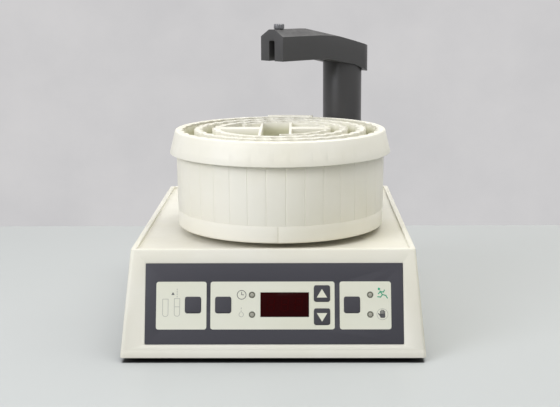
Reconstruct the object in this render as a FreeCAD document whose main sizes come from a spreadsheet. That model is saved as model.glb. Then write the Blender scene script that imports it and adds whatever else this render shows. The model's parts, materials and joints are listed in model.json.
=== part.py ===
import FreeCAD, Part
import math
import os
import re
import Sketcher

# Bench fraction collector, millimetres, +Z up, +Y to the back.
# The origin is under the middle of the base, at the height of the table top.

Vector = FreeCAD.Vector
Rotation = FreeCAD.Rotation

# Driving dimensions, millimetres and degrees.
SIZES = [
    # Base housing and pan
    ("base_width", 257.0, "width over the bottom edges"),
    ("side_inset", 7.5, "bottom edge to top edge on each side"),
    ("base_depth", 336.0, "depth over the bottom edges"),
    ("base_top", 90.4, "height of the top edges"),
    ("face_lean", 18.91, "backward lean of the front face"),
    ("foot_height", 4.0, "gap under the pan"),
    ("split_height", 10.0, "seam between housing and pan"),
    ("wall", 3.0, "housing wall"),
    ("corner_radius", 3.5, "upright corners of the base"),
    ("edge_radius", 1.2, "top edges of the base"),
    ("lip_width", 4.6, "raised lip along the deck"),
    ("deck_drop", 2.6, "deck below the lip"),
    ("deck_thickness", 3.0, "deck plate"),
    ("ramp_start", 1.5, "front edge to the start of the ramp"),
    ("ramp_length", 18.0, "front edge to the end of the ramp"),
    ("pan_floor", 2.5, "floor of the pan"),
    ("tongue_height", 4.0, "tongue above the seam"),
    ("tongue_wall", 2.0, "tongue thickness"),
    ("fit_gap", 0.2, "clearance between fitted plastic pieces"),
    ("foot_radius", 9.0, "rubber foot"),
    ("foot_stem_radius", 3.0, "stem of the rubber foot"),
    ("foot_inset", 20.0, "foot centre to the bottom edges"),
    ("boss_radius", 4.5, "pillar that takes a pan screw"),
    ("boss_inset_x", 20.0, "pillar to the side edges"),
    ("boss_inset_front", 38.0, "pillar to the front bottom edge"),
    ("boss_inset_back", 35.0, "pillar to the back edge"),
    ("pan_screw_head", 3.2, "pan screw head radius"),
    ("pan_screw_sink", 1.6, "pan screw head height"),
    ("pan_screw_radius", 1.4, "pan screw shank radius"),
    ("pan_screw_length", 14.0, "pan screw shank length"),
    ("screw_gap", 0.05, "radial clearance round a screw"),
    ("screw_radius", 1.5, "machine screw shank radius"),
    ("screw_head", 2.8, "machine screw head radius"),
    ("screw_head_height", 1.8, "machine screw head height"),
    # Front panel, placed on the face from the panel centre
    ("panel_x", 1.0, "panel centre to the middle of the base"),
    ("panel_width", 217.2, "overlay width"),
    ("panel_height", 68.0, "overlay height"),
    ("panel_drop", 12.0, "top edge of the face to the overlay"),
    ("panel_recess", 0.8, "depth of the overlay recess"),
    ("panel_proud", 0.3, "overlay above the face"),
    ("panel_corner", 0.8, "overlay corner radius"),
    ("key_size", 13.4, "square key"),
    ("key_corner", 1.6, "key corner radius"),
    ("key_gap", 0.15, "clearance round a key"),
    ("key_proud", 0.5, "key above the overlay"),
    ("key_flange_width", 1.0, "key flange beyond the opening"),
    ("key_flange", 1.0, "key flange thickness"),
    ("key_left_x", -68.25, "left key"),
    ("key_middle_x", -42.8, "middle key"),
    ("key_right_x", 65.5, "right key"),
    ("key_row_y", -0.85, "row of the three larger fields"),
    ("arrow_x", 40.3, "up and down keys"),
    ("arrow_up_y", 8.65, "up key"),
    ("arrow_down_y", -10.75, "down key"),
    ("window_width", 40.9, "display window width"),
    ("window_height", 20.7, "display window height"),
    ("window_x", 8.95, "display window place"),
    ("window_y", -0.9, "display window place"),
    ("window_thickness", 0.9, "display window"),
    ("module_width", 38.0, "display module width"),
    ("module_height", 19.0, "display module height"),
    ("module_depth", 7.6, "display module depth"),
    ("lamp_radius", 2.6, "round lamp"),
    ("lamp_collar", 3.0, "lamp collar radius behind the wall"),
    ("lamp_proud", 0.6, "lamp above the face"),
    ("lamp_left_x", -18.5, "left pair of lamps"),
    ("lamp_right_x", 80.8, "right pair of lamps"),
    ("lamp_top_y", 7.3, "upper lamps"),
    ("lamp_bottom_y", -9.2, "lower lamps"),
    ("board_depth", 9.0, "face to the display board"),
    ("board_width", 200.0, "display board width"),
    ("board_height", 44.0, "display board height"),
    ("board_thickness", 1.6, "circuit boards"),
    ("board_boss_x", 92.0, "board pillar place"),
    ("board_boss_y", 17.0, "board pillar place"),
    ("board_boss_radius", 3.2, "board pillar"),
    ("board_screw_length", 5.0, "screw length in a board pillar"),
    ("switch_size", 12.0, "key switch body"),
    ("switch_height", 3.4, "key switch body height"),
    ("switch_button", 1.75, "key switch plunger radius"),
    ("key_travel", 0.66, "key flange to the switch plunger"),
    # Inside the base
    ("main_board_width", 140.0, "main board width"),
    ("main_board_depth", 84.0, "main board depth"),
    ("main_board_x", 31.0, "main board centre"),
    ("board_setback", 62.0, "front bottom edge to the main board centre"),
    ("standoff_height", 8.0, "board pillar on the pan"),
    ("standoff_radius", 3.0, "board pillar on the pan"),
    ("standoff_inset", 5.0, "pillar to the board edge"),
    ("core_width", 60.0, "transformer laminations width"),
    ("core_depth", 30.0, "transformer laminations depth"),
    ("core_height", 50.0, "transformer laminations height"),
    ("core_leg", 10.0, "outer leg of the laminations"),
    ("core_window", 10.0, "winding window width"),
    ("winding_overhang", 10.0, "winding beyond the laminations"),
    ("winding_gap", 0.3, "winding to laminations"),
    ("transformer_inset_x", 48.5, "side bottom edge to the transformer centre"),
    ("transformer_inset_y", 56.0, "back edge to the transformer centre"),
    # Back wall
    ("inlet_x", -80.0, "power inlet place"),
    ("switch_x", -42.0, "power switch place"),
    ("fuse_x", -14.0, "fuse holder place"),
    ("socket_x", 64.0, "signal socket place"),
    ("back_row_z", 42.0, "height of the back row"),
    ("flange_thickness", 2.0, "flange on the back wall"),
    ("inlet_width", 27.4, "inlet body width"),
    ("inlet_height", 19.8, "inlet body height"),
    ("inlet_depth", 20.0, "inlet body depth inside"),
    ("inlet_rim", 2.4, "inlet flange beyond the body"),
    ("inlet_wall", 1.8, "inlet wall"),
    ("blade_width", 2.0, "inlet blade width"),
    ("blade_height", 4.0, "inlet blade height"),
    ("blade_length", 12.0, "inlet blade length"),
    ("blade_pitch", 7.0, "between the outer blades and the middle"),
    ("frame_width", 13.0, "switch body width"),
    ("frame_height", 19.2, "switch body height"),
    ("frame_depth", 14.0, "switch body depth"),
    ("frame_rim", 1.2, "switch flange beyond the body"),
    ("frame_wall", 1.6, "switch body wall"),
    ("rocker_gap", 0.35, "clearance round the rocker"),
    ("rocker_throw", 14.0, "rocker travel"),
    ("rocker_radius", 9.0, "rocker face radius about its pivot"),
    ("rocker_pivot_radius", 1.2, "rocker pivot pin"),
    ("fuse_radius", 6.2, "fuse holder body"),
    ("fuse_cap_radius", 7.6, "fuse cap"),
    ("fuse_cap_height", 4.0, "fuse cap"),
    ("fuse_depth", 30.0, "fuse holder length inside"),
    ("socket_radius", 7.8, "signal socket body"),
    ("socket_rim", 10.0, "signal socket flange radius"),
    ("socket_bore", 6.4, "signal socket mouth"),
    ("socket_mouth_depth", 8.0, "signal socket mouth depth"),
    ("socket_depth", 12.0, "signal socket length inside"),
    # Carousel drive
    ("axis_x", 5.0, "rack axis"),
    ("axis_setback", 101.7, "front top edge to the rack axis"),
    ("spindle_radius", 4.0, "spindle"),
    ("bearing_radius", 11.0, "ball bearing"),
    ("bearing_width", 7.0, "ball bearing"),
    ("press_gap", 0.02, "radial play of a press fit"),
    ("spindle_tube", 15.0, "spindle housing outside"),
    ("spindle_flange", 26.0, "spindle housing flange"),
    ("flange_height", 3.0, "flange under the deck"),
    ("spindle_shoulder", 9.0, "bore between the bearings"),
    ("spindle_tube_length", 23.8, "spindle housing below the deck"),
    ("flange_screw_inset", 4.5, "flange edge to its screws"),
    ("deck_hole_gap", 2.0, "deck hole beyond the spindle"),
    ("hub_clearance", 1.5, "deck to the turntable hub"),
    ("hub_radius", 34.0, "turntable hub"),
    ("hub_nose_radius", 8.0, "hub nose"),
    ("hub_nose_height", 4.0, "straight part of the nose"),
    ("hub_cone_height", 8.0, "tapered part of the nose"),
    ("hub_gap", 0.3, "nose to rack bore"),
    ("drive_pin_radius", 2.0, "drive pin"),
    ("drive_pin_place", 24.0, "drive pin to the axis"),
    ("drive_pin_gap", 0.3, "drive pin to its hole"),
    ("pulley_low", 50.0, "under side of the pulleys"),
    ("pulley_height", 9.0, "pulleys"),
    ("pulley_flange", 1.4, "pulley flange"),
    ("pulley_lip", 1.8, "flange above the belt seat"),
    ("driven_radius", 23.0, "belt seat of the driven pulley"),
    ("motor_pulley_radius", 10.0, "belt seat of the motor pulleys"),
    ("belt_thickness", 1.4, "belt"),
    ("belt_gap", 0.05, "belt to pulley"),
    ("belt_side_gap", 0.3, "belt to pulley flange"),
    ("disc_radius", 31.0, "index disc"),
    ("disc_thickness", 1.0, "index disc"),
    ("disc_notch", 3.0, "index notch"),
    ("sensor_width", 9.0, "index sensor width"),
    ("sensor_reach", 12.0, "index sensor depth"),
    ("sensor_slot", 3.4, "index sensor slot"),
    ("motor_size", 42.3, "motor width"),
    ("motor_height", 34.0, "motor body"),
    ("motor_corner", 4.0, "motor corner radius"),
    ("motor_pilot", 11.0, "motor pilot radius"),
    ("motor_pilot_height", 1.8, "motor pilot height"),
    ("motor_shaft_radius", 2.5, "motor shaft"),
    ("motor_screw_place", 15.5, "motor screws from the axis"),
    ("motor_spacing", 78.0, "carousel motor to the rack axis"),
    ("arm_motor_spacing", 74.0, "arm motor to the post"),
    ("bracket_thickness", 2.5, "motor bracket sheet"),
    ("bracket_gap", 1.0, "motor to bracket leg"),
    ("bracket_top", 47.0, "motor bracket height"),
    ("bracket_foot", 9.0, "motor bracket foot"),
    # Rack
    ("rack_gap", 3.0, "top edges of the base to the rack"),
    ("rack_height", 87.4, "rack, without its tab"),
    ("tray_height", 14.8, "low band of the tray"),
    ("tray_floor", 3.0, "rack floor"),
    ("tray_bottom_radius", 94.6, "tray at the bottom"),
    ("wall_seam_radius", 94.9, "outer wall at the seam"),
    ("wall_top_radius", 95.7, "outer wall under the rim"),
    ("tray_wall", 1.9, "tray wall"),
    ("spigot_gap", 0.1, "outer wall in the tray"),
    ("facets", 36, "flat faces of the outer wall"),
    ("rack_turn", 3.7, "first facet corner"),
    ("groove_width", 0.9, "groove between two facets"),
    ("groove_depth", 0.5, "groove between two facets"),
    ("mark_x", -0.7, "upright groove in the front of the tray"),
    ("mark_width", 0.6, "upright groove in the front of the tray"),
    ("mark_depth", 0.4, "upright groove in the front of the tray"),
    ("rim_radius", 96.3, "rim"),
    ("rim_thickness", 2.0, "rim plate"),
    ("rim_gap", 0.4, "skirt to outer wall"),
    ("skirt_radius", 101.4, "skirt at its lower edge"),
    ("skirt_height", 20.6, "skirt"),
    ("skirt_thickness", 2.0, "skirt"),
    ("rim_rounding", 0.8, "top edge of the rim"),
    ("tab_height", 1.4, "raised tab on the rim"),
    ("tab_start", 70.7, "tab, counter-clockwise from +X"),
    ("tab_end", 98.0, "tab, counter-clockwise from +X"),
    ("tab_width", 4.2, "tab"),
    ("well_radius", 6.75, "tube well"),
    ("outer_row", 83.9, "outer row of wells"),
    ("middle_row", 66.8, "middle row of wells"),
    ("inner_row", 50.8, "inner row of wells"),
    ("outer_wells", 36, "wells in the outer row"),
    ("middle_wells", 30, "wells in the middle row"),
    ("inner_wells", 14, "wells in the inner row"),
    ("inner_pitch", 16.5, "angle between inner wells"),
    ("outer_slot_outside", 88.8, "outer trough"),
    ("outer_slot_inside", 79.0, "outer trough"),
    ("middle_slot_outside", 71.2, "middle trough"),
    ("middle_slot_inside", 62.4, "middle trough"),
    ("inner_slot_outside", 55.0, "inner trough"),
    ("inner_slot_inside", 46.6, "inner trough"),
    ("core_ring_inside", 42.6, "part ring, inner face"),
    ("core_ring_start", -90.0, "part ring, counter-clockwise from +X"),
    ("web_gap", 0.05, "web to ring"),
    ("web_left_x", -17.5, "left web"),
    ("web_right_x", 9.6, "right web"),
    ("web_thickness", 2.4, "webs"),
    ("bar_y", 2.75, "cross bar centre line"),
    ("bar_width", 15.5, "cross bars"),
    # Swing arm
    ("post_offset_x", 61.3, "rack axis to the post"),
    ("post_offset_y", 110.0, "rack axis to the post"),
    ("column_radius", 19.4, "post"),
    ("column_bore", 10.0, "post bore"),
    ("column_top", 246.0, "top of the post inside the arm"),
    ("journal_radius", 15.0, "post inside the base"),
    ("journal_gap", 0.06, "running clearance of the post"),
    ("column_lift", 0.3, "deck to the foot of the post"),
    ("column_tube", 19.6, "column housing outside"),
    ("column_flange", 30.0, "column housing flange"),
    ("column_tube_length", 22.8, "column housing below the deck"),
    ("column_spigot", 18.0, "column housing in the deck"),
    ("arm_pulley_radius", 21.0, "belt seat of the arm pulley"),
    ("arm_angle", 223.4, "post to head, counter-clockwise from +X"),
    ("arm_length", 95.4, "post axis to the end face"),
    ("drop_reach", 86.0, "post axis to the drop axis"),
    ("head_width", 31.0, "head"),
    ("elbow_wall", 1.3, "elbow beside the post"),
    ("rear_wall", 3.2, "elbow behind the post"),
    ("elbow_corner", 13.0, "rear corner radius"),
    ("flare_start", 45.0, "where the arm starts to widen"),
    ("flare_end", 4.0, "where the arm is as wide as the elbow"),
    ("head_top", 268.8, "top of the head"),
    ("head_bottom", 239.2, "under side of the head"),
    ("shoulder_height", 6.6, "top chamfer height"),
    ("shoulder_width", 11.4, "top chamfer width"),
    ("roof_start", 55.0, "where the top starts to slope"),
    ("roof_lean", 14.2, "slope of the top"),
    ("rear_bevel", 4.5, "bevel along the rear of the top"),
    ("belly_start", 38.0, "where the under side starts to slope"),
    ("belly_lean", 11.0, "slope of the under side"),
    ("belly_knee", 3.0, "where the slope gets steeper"),
    ("knee_lean", 20.0, "slope of the under side behind the knee"),
    ("heel_bevel", 5.0, "bevel along the rear of the under side"),
    ("slot_width", 7.7, "slot in the end face"),
    ("slot_depth", 16.0, "slot in the end face"),
    ("slot_height", 19.3, "slot in the end face"),
    ("slot_corner", 1.5, "upper corners of the slot"),
    ("arm_wall", 2.6, "arm shell wall"),
    ("duct_start", 49.0, "hollow of the arm"),
    ("duct_end", 75.0, "hollow of the arm"),
    ("duct_height", 22.0, "hollow of the arm"),
    ("duct_radius", 5.0, "passage to the post"),
    ("cover_thickness", 2.0, "cover under the arm"),
    ("cover_rim", 1.2, "ledge round the cover"),
    ("former_radius", 2.4, "drop former"),
    ("former_tip", 1.1, "drop former tip"),
    ("former_bore", 0.8, "drop former bore"),
    ("former_end", 242.5, "end of the drop former"),
    ("former_waist", 249.0, "end of its straight part"),
    ("former_taper", 3.0, "taper above the tip"),
    ("former_thread", 3.1, "threaded part"),
    ("former_flange", 4.4, "flange on the head"),
    ("former_flange_height", 0.7, "flange on the head"),
    ("former_neck", 3.7, "thread above the flange"),
    ("nut_radius", 5.0, "clamp nut"),
    ("nut_height", 4.3, "clamp nut"),
    ("nut_bore", 1.6, "clamp nut tubing bore"),
    ("nut_roof", 1.0, "clamp nut top"),
    ("nut_flutes", 14, "knurl"),
    ("flute_radius", 0.7, "knurl"),
    ("thread_gap", 0.06, "radial play of the clamp nut"),
    ("eye_width", 3.4, "drop sensor nose"),
    ("eye_height", 4.0, "drop sensor nose"),
    ("eye_proud", 1.0, "drop sensor nose in the slot"),
    ("eye_seat", 1.4, "drop sensor nose in the wall"),
    ("eye_z", 247.6, "drop sensor nose, middle"),
]

# Places worked out from the driving dimensions.
PLACES = [
    ("body_height", "base_top - foot_height"),
    ("top_width", "base_width - 2 * side_inset"),
    ("side_slope", "side_inset / (base_top - foot_height)"),
    ("front_slope", "tan(face_lean)"),
    ("front_top_y", "(base_top - foot_height) * tan(face_lean) - base_depth / 2"),
    ("back_y", "base_depth / 2"),
    ("deck_z", "base_top - deck_drop"),
    ("deck_under", "base_top - deck_drop - deck_thickness"),
    ("pan_top", "foot_height + pan_floor"),
    ("face_normal_wall", "wall * cos(face_lean)"),
    ("face_y", "front_top_y - (panel_drop + panel_height / 2) * sin(face_lean)"),
    ("face_z", "base_top - (panel_drop + panel_height / 2) * cos(face_lean)"),
    ("key_hole", "key_size + 2 * key_gap"),
    ("switch_button_height", "board_depth - face_normal_wall - key_flange - switch_height - key_travel"),
    ("main_board_y", "board_setback - base_depth / 2"),
    ("transformer_x", "transformer_inset_x - base_width / 2"),
    ("transformer_y", "base_depth / 2 - transformer_inset_y"),
    ("rack_x", "axis_x"),
    ("rack_y", "front_top_y + axis_setback"),
    ("rack_bottom", "base_top + rack_gap"),
    ("rack_inside", "rack_bottom + tray_floor"),
    ("tray_top", "rack_bottom + tray_height"),
    ("rack_top", "rack_bottom + rack_height"),
    ("rim_under", "rack_top - rim_thickness"),
    ("spigot_radius", "wall_seam_radius - tray_wall - spigot_gap"),
    ("hub_bottom", "deck_z + hub_clearance"),
    ("hub_shoulder", "rack_bottom + hub_nose_height"),
    ("pulley_top", "pulley_low + pulley_height"),
    ("spindle_tube_low", "deck_under - spindle_tube_length"),
    ("carousel_motor_x", "rack_x - motor_spacing"),
    ("post_x", "rack_x + post_offset_x"),
    ("post_y", "rack_y + post_offset_y"),
    ("arm_motor_x", "post_x - arm_motor_spacing"),
    ("column_foot", "deck_z + column_lift"),
    ("column_tube_low", "deck_under - column_tube_length"),
    ("elbow_width", "2 * (column_radius + elbow_wall)"),
    ("elbow_rear", "column_radius + rear_wall"),
    ("knee_z", "head_bottom - (belly_start - belly_knee) * tan(belly_lean)"),
    ("belly_low", "knee_z - (belly_knee + elbow_rear) * tan(knee_lean)"),
    ("rear_top", "head_top - (roof_start + elbow_rear) * tan(roof_lean)"),
    ("slot_top", "head_bottom + slot_height"),
    ("boss_x", "base_width / 2 - boss_inset_x"),
    ("boss_front_y", "boss_inset_front - base_depth / 2"),
    ("boss_back_y", "base_depth / 2 - boss_inset_back"),
    ("rocker_y", "base_depth / 2 - 3"),
    ("foot_x", "base_width / 2 - foot_inset"),
    ("foot_y", "base_depth / 2 - foot_inset"),
]

KEYS = {
    "left_key": ("key_left_x", "key_row_y"),
    "middle_key": ("key_middle_x", "key_row_y"),
    "right_key": ("key_right_x", "key_row_y"),
    "up_key": ("arrow_x", "arrow_up_y"),
    "down_key": ("arrow_x", "arrow_down_y"),
}
LAMPS = [(x, y) for x in ("lamp_left_x", "lamp_right_x") for y in ("lamp_top_y", "lamp_bottom_y")]
BOARD_BOSSES = [(x, y) for x in ("-board_boss_x", "board_boss_x") for y in ("-board_boss_y", "board_boss_y")]
PAN_BOSSES = [(x, y) for x in ("-boss_x", "boss_x") for y in ("boss_front_y", "boss_back_y")]
FEET = [(x, y) for x in ("-foot_x", "foot_x") for y in ("-foot_y", "foot_y")]
MOTORS = {"carousel": ("carousel_motor_x", "rack_y"), "arm": ("arm_motor_x", "post_y")}

# Sketch planes, as turns of the horizontal plane.
LEVEL = None
UPRIGHT = (Vector(1, 0, 0), "90")
CROSS = (Vector(1, 1, 1), "120")
FACE = (Vector(1, 0, 0), "90 - face_lean")

doc = FreeCAD.newDocument("fraction_collector")
sizes = doc.addObject("Spreadsheet::Sheet", "sizes")
places = doc.addObject("Spreadsheet::Sheet", "places")
owner = {}
nodes = []


def bound(text):
    """The text with each size and place name pointed at its cell."""
    return re.sub(r"[a-z][a-z_]*", lambda word: owner.get(word.group(), "") + word.group(), text)


def fill_sheets():
    for row, (alias, number, note) in enumerate(SIZES, 1):
        sizes.set("A%d" % row, alias)
        sizes.set("B%d" % row, str(number))
        sizes.set("C%d" % row, note)
        sizes.setAlias("B%d" % row, alias)
        owner[alias] = "sizes."
    for row, (alias, formula) in enumerate(PLACES, 1):
        places.set("A%d" % row, alias)
        places.set("B%d" % row, "=" + bound(formula))
        places.setAlias("B%d" % row, alias)
        owner[alias] = "places."
    doc.recompute()


def number(alias):
    """The value of a size or a place, for shapes that are worked out by formula."""
    sheet = sizes if owner[alias] == "sizes." else places
    return float(sheet.get(alias))


def node(thing, name):
    """Names a finished sub-part and keeps it for writing."""
    thing.Label = name
    nodes.append(thing)
    return thing


def stand(thing, x="0", y="0", z="0", turn=None):
    """Places a finished thing, turned about an axis where one is given."""
    if turn:
        axis, angle = turn
        thing.Placement = FreeCAD.Placement(Vector(), Rotation(axis, 10))
        thing.setExpression("Placement.Rotation.Angle", bound(angle))
    for key, text in zip("xyz", (x, y, z)):
        thing.setExpression("Placement.Base." + key, bound(text))
    return thing


def face_point(x, y, z):
    """A point given on the front face from the panel centre, with z pointing out of the face."""
    return (
        "panel_x + (%s)" % x,
        "face_y + (%s) * sin(face_lean) - (%s) * cos(face_lean)" % (y, z),
        "face_z + (%s) * cos(face_lean) + (%s) * sin(face_lean)" % (y, z),
    )


def on_face(thing, x="0", y="0", z="0"):
    return stand(thing, *face_point(x, y, z), turn=FACE)


def origin_part(body, role):
    return [part for part in body.Origin.OriginFeatures if part.Role == role][0]


def new_body():
    return doc.addObject("PartDesign::Body", "body")


def sketch(body, at=("0", "0", "0"), turn=LEVEL):
    """An empty sketch of the body, moved and turned from its horizontal origin plane."""
    flat = body.newObject("Sketcher::SketchObject", "sketch")
    flat.AttachmentSupport = (origin_part(body, "XY_Plane"), [""])
    flat.MapMode = "FlatFace"
    if turn:
        axis, angle = turn
        flat.AttachmentOffset = FreeCAD.Placement(Vector(), Rotation(axis, 10))
        flat.setExpression("AttachmentOffset.Rotation.Angle", bound(angle))
    for key, text in zip("xyz", at):
        flat.setExpression("AttachmentOffset.Base." + key, bound(text))
    return flat


def tie(flat, kind, edge, point, text):
    """Ties a coordinate of a sketch point, measured from the sketch origin."""
    index = flat.addConstraint(Sketcher.Constraint(kind, -1, 1, edge, point, 1.0))
    flat.setExpression("Constraints[%d]" % index, bound(text))


def polygon(flat, points):
    count = len(points)
    turns = [2 * math.pi * i / count for i in range(count)]
    start = [Vector(math.cos(turn), math.sin(turn), 0) for turn in turns]
    lines = [Part.LineSegment(start[i], start[(i + 1) % count]) for i in range(count)]
    edges = [flat.addGeometry(line, False) for line in lines]
    for edge, follower in zip(edges, edges[1:] + edges[:1]):
        flat.addConstraint(Sketcher.Constraint("Coincident", edge, 2, follower, 1))
    for edge, (x, y) in zip(edges, points):
        tie(flat, "DistanceX", edge, 1, x)
        tie(flat, "DistanceY", edge, 1, y)
    return flat


def rectangle(flat, x, y, width, height):
    low_x, high_x = ["(%s) %s (%s) / 2" % (x, sign, width) for sign in "-+"]
    low_y, high_y = ["(%s) %s (%s) / 2" % (y, sign, height) for sign in "-+"]
    return polygon(flat, [(low_x, low_y), (high_x, low_y), (high_x, high_y), (low_x, high_y)])


def circle(flat, x, y, radius):
    edge = flat.addGeometry(Part.Circle(Vector(), Vector(0, 0, 1), 1.0), False)
    tie(flat, "DistanceX", edge, 3, x)
    tie(flat, "DistanceY", edge, 3, y)
    index = flat.addConstraint(Sketcher.Constraint("Radius", edge, 1.0))
    flat.setExpression("Constraints[%d]" % index, bound(radius))
    return flat


def pad(body, flat, length, middle=False, back=False):
    """Material along the sketch normal, or against it."""
    feature = body.newObject("PartDesign::Pad", "pad")
    feature.Profile = flat
    feature.Midplane = middle
    feature.Reversed = back
    feature.setExpression("Length", bound(length))
    return feature


def pocket(body, flat, length, middle=False, ahead=False):
    """A cut against the sketch normal, or along it."""
    feature = body.newObject("PartDesign::Pocket", "pocket")
    feature.Profile = flat
    feature.Midplane = middle
    feature.Reversed = ahead
    feature.setExpression("Length", bound(length))
    return feature


def polar(body, feature, count):
    """Repeats a feature round the body's upright axis."""
    pattern = body.newObject("PartDesign::PolarPattern", "pattern")
    pattern.Originals = [feature]
    pattern.Axis = (origin_part(body, "Z_Axis"), [""])
    pattern.Angle = 360
    pattern.setExpression("Occurrences", bound(count))
    body.Tip = pattern
    return pattern


def round_edges(body, radius, wanted):
    """Rounds the edges of the body's last feature that the test picks."""
    doc.recompute()
    last = body.Tip
    names = ["Edge%d" % i for i, edge in enumerate(last.Shape.Edges, 1) if wanted(edge)]
    feature = body.newObject("PartDesign::Fillet", "edges")
    feature.Base = (last, names)
    feature.setExpression("Radius", bound(radius))
    return feature


def along(edge, direction, slack=0.35):
    """Whether a straight edge runs roughly in the given direction."""
    if len(edge.Vertexes) < 2:
        return False
    span = edge.Vertexes[1].Point - edge.Vertexes[0].Point
    straight = abs(edge.Length - span.Length) < 1e-4
    return straight and span.normalize().cross(direction).Length < slack


def level_at(edge, height):
    return all(abs(corner.Point.z - height) < 0.01 for corner in edge.Vertexes)


def turned(points, body=None):
    """A body turned about its upright axis from a half outline of radius and height."""
    body = body or new_body()
    feature = body.newObject("PartDesign::Revolution", "turning")
    feature.Profile = polygon(sketch(body, turn=UPRIGHT), points)
    feature.ReferenceAxis = (feature.Profile[0], ["V_Axis"])
    feature.Angle = 360
    return body


def ring(inside, outside, low, high):
    return [(inside, low), (outside, low), (outside, high), (inside, high)]


def block(width, depth, height, x="0", y="0", z="0"):
    """A block centred on x and y that stands on z."""
    thing = doc.addObject("Part::Box", "block")
    for side, text in (("Length", width), ("Width", depth), ("Height", height)):
        thing.setExpression(side, bound(text))
    return stand(thing, "(%s) - (%s) / 2" % (x, width), "(%s) - (%s) / 2" % (y, depth), z)


def rod(radius, height, x="0", y="0", z="0", turn=None):
    thing = doc.addObject("Part::Cylinder", "rod")
    thing.setExpression("Radius", bound(radius))
    thing.setExpression("Height", bound(height))
    return stand(thing, x, y, z, turn)


def joined(*things):
    thing = doc.addObject("Part::MultiFuse", "joined")
    thing.Shapes = list(things)
    return thing


def cut(base, *tools):
    thing = doc.addObject("Part::Cut", "cut")
    thing.Base = base
    thing.Tool = tools[0] if len(tools) == 1 else joined(*tools)
    return thing


def common(first, second):
    thing = doc.addObject("Part::Common", "common")
    thing.Base = first
    thing.Tool = second
    return thing


def together(things):
    """Separate solids kept as one sub-part."""
    thing = doc.addObject("Part::Compound", "group")
    thing.Links = list(things)
    return thing


def worked_out(shape):
    """A sub-part whose outline follows a formula."""
    thing = doc.addObject("Part::Feature", "shape")
    thing.Shape = shape
    return thing


def side_at(height, inset="0"):
    return "(base_width / 2 - side_slope * ((%s) - foot_height) - (%s))" % (height, inset)


def front_at(height, inset="0"):
    return "(front_slope * ((%s) - foot_height) - base_depth / 2 + (%s))" % (height, inset)


def outline_at(height, inset):
    """The base outline at a height, drawn in by an inset."""
    side, front = side_at(height, inset), front_at(height, inset)
    back = "(base_depth / 2 - (%s))" % inset
    return [("-" + side, front), (side, front), (side, back), ("-" + side, back)]


def leaning_block(body, low, high):
    """The outside of the base between two heights, with rounded upright corners."""
    view = sketch(body, turn=UPRIGHT)
    wide, narrow = side_at(low), side_at(high)
    polygon(view, [("-" + wide, low), (wide, low), (narrow, high), ("-" + narrow, high)])
    pad(body, view, "base_depth", middle=True)
    wedge = sketch(body, turn=CROSS)
    ahead = "-base_depth / 2 - 5"
    polygon(wedge, [(front_at(low), low), (front_at(high), high), (ahead, high), (ahead, low)])
    pocket(body, wedge, "base_width", middle=True)
    upright = Vector(0, 0, 1)
    round_edges(body, "corner_radius", lambda edge: along(edge, upright))


def outline_sketch(body, height, inset):
    return polygon(sketch(body, ("0", "0", height)), outline_at(height, inset))


def screw(x, y, z, length, head_up=True):
    """A pan head machine screw whose head sits on the height z."""
    low = "(%s) - (%s)" % (z, length) if head_up else z
    head = z if head_up else "(%s) - screw_head_height" % z
    return joined(rod("screw_radius", length, x, y, low), rod("screw_head", "screw_head_height", x, y, head))


def base_housing():
    body = new_body()
    leaning_block(body, "split_height", "base_top")
    top = number("base_top")
    round_edges(body, "edge_radius", lambda edge: level_at(edge, top))
    hollow = body.newObject("PartDesign::SubtractiveLoft", "hollow")
    hollow.Profile = outline_sketch(body, "split_height - 1", "wall")
    hollow.Sections = [outline_sketch(body, "deck_under", "wall")]
    hollow.Ruled = True
    housing_deck(body)
    housing_face(body)
    housing_back(body)
    bosses = sketch(body, ("0", "0", "pan_top"))
    for x, y in PAN_BOSSES:
        circle(bosses, x, y, "boss_radius")
    pad(body, bosses, "deck_under - pan_top + deck_thickness / 2")
    holes = sketch(body, ("0", "0", "pan_top"))
    for x, y in PAN_BOSSES:
        circle(holes, x, y, "pan_screw_radius + screw_gap")
    pocket(body, holes, "pan_screw_length", ahead=True)
    node(body, "base_housing")


def housing_deck(body):
    """The sunk deck with its ramp at the front, and the holes for the spindle and the post."""
    sunk = sketch(body, turn=CROSS)
    above = "base_top + 1"
    polygon(sunk, [
        ("front_top_y + ramp_start", "base_top"),
        ("front_top_y + ramp_length", "deck_z"),
        ("back_y - lip_width", "deck_z"),
        ("back_y - lip_width", above),
        ("front_top_y + ramp_start", above),
    ])
    pocket(body, sunk, "top_width - 2 * lip_width", middle=True)
    holes = sketch(body, ("0", "0", "base_top"))
    circle(holes, "rack_x", "rack_y", "spindle_radius + deck_hole_gap")
    circle(holes, "post_x", "post_y", "column_spigot + screw_gap")
    pocket(body, holes, "deck_drop + deck_thickness + 1")
    screws = sketch(body, ("0", "0", "deck_under"))
    for x, y in flange_screws():
        circle(screws, x, y, "screw_radius + screw_gap")
    pocket(body, screws, "deck_thickness - 0.6", ahead=True)


def flange_screws():
    """Three screws in each of the two flanges under the deck."""
    spots = []
    for x, y, flange in (("rack_x", "rack_y", "spindle_flange"), ("post_x", "post_y", "column_flange")):
        reach = "(%s - flange_screw_inset)" % flange
        for angle in ("210", "330", "90"):
            spots.append(("%s + %s * cos(%s)" % (x, reach, angle), "%s + %s * sin(%s)" % (y, reach, angle)))
    return spots


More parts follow.
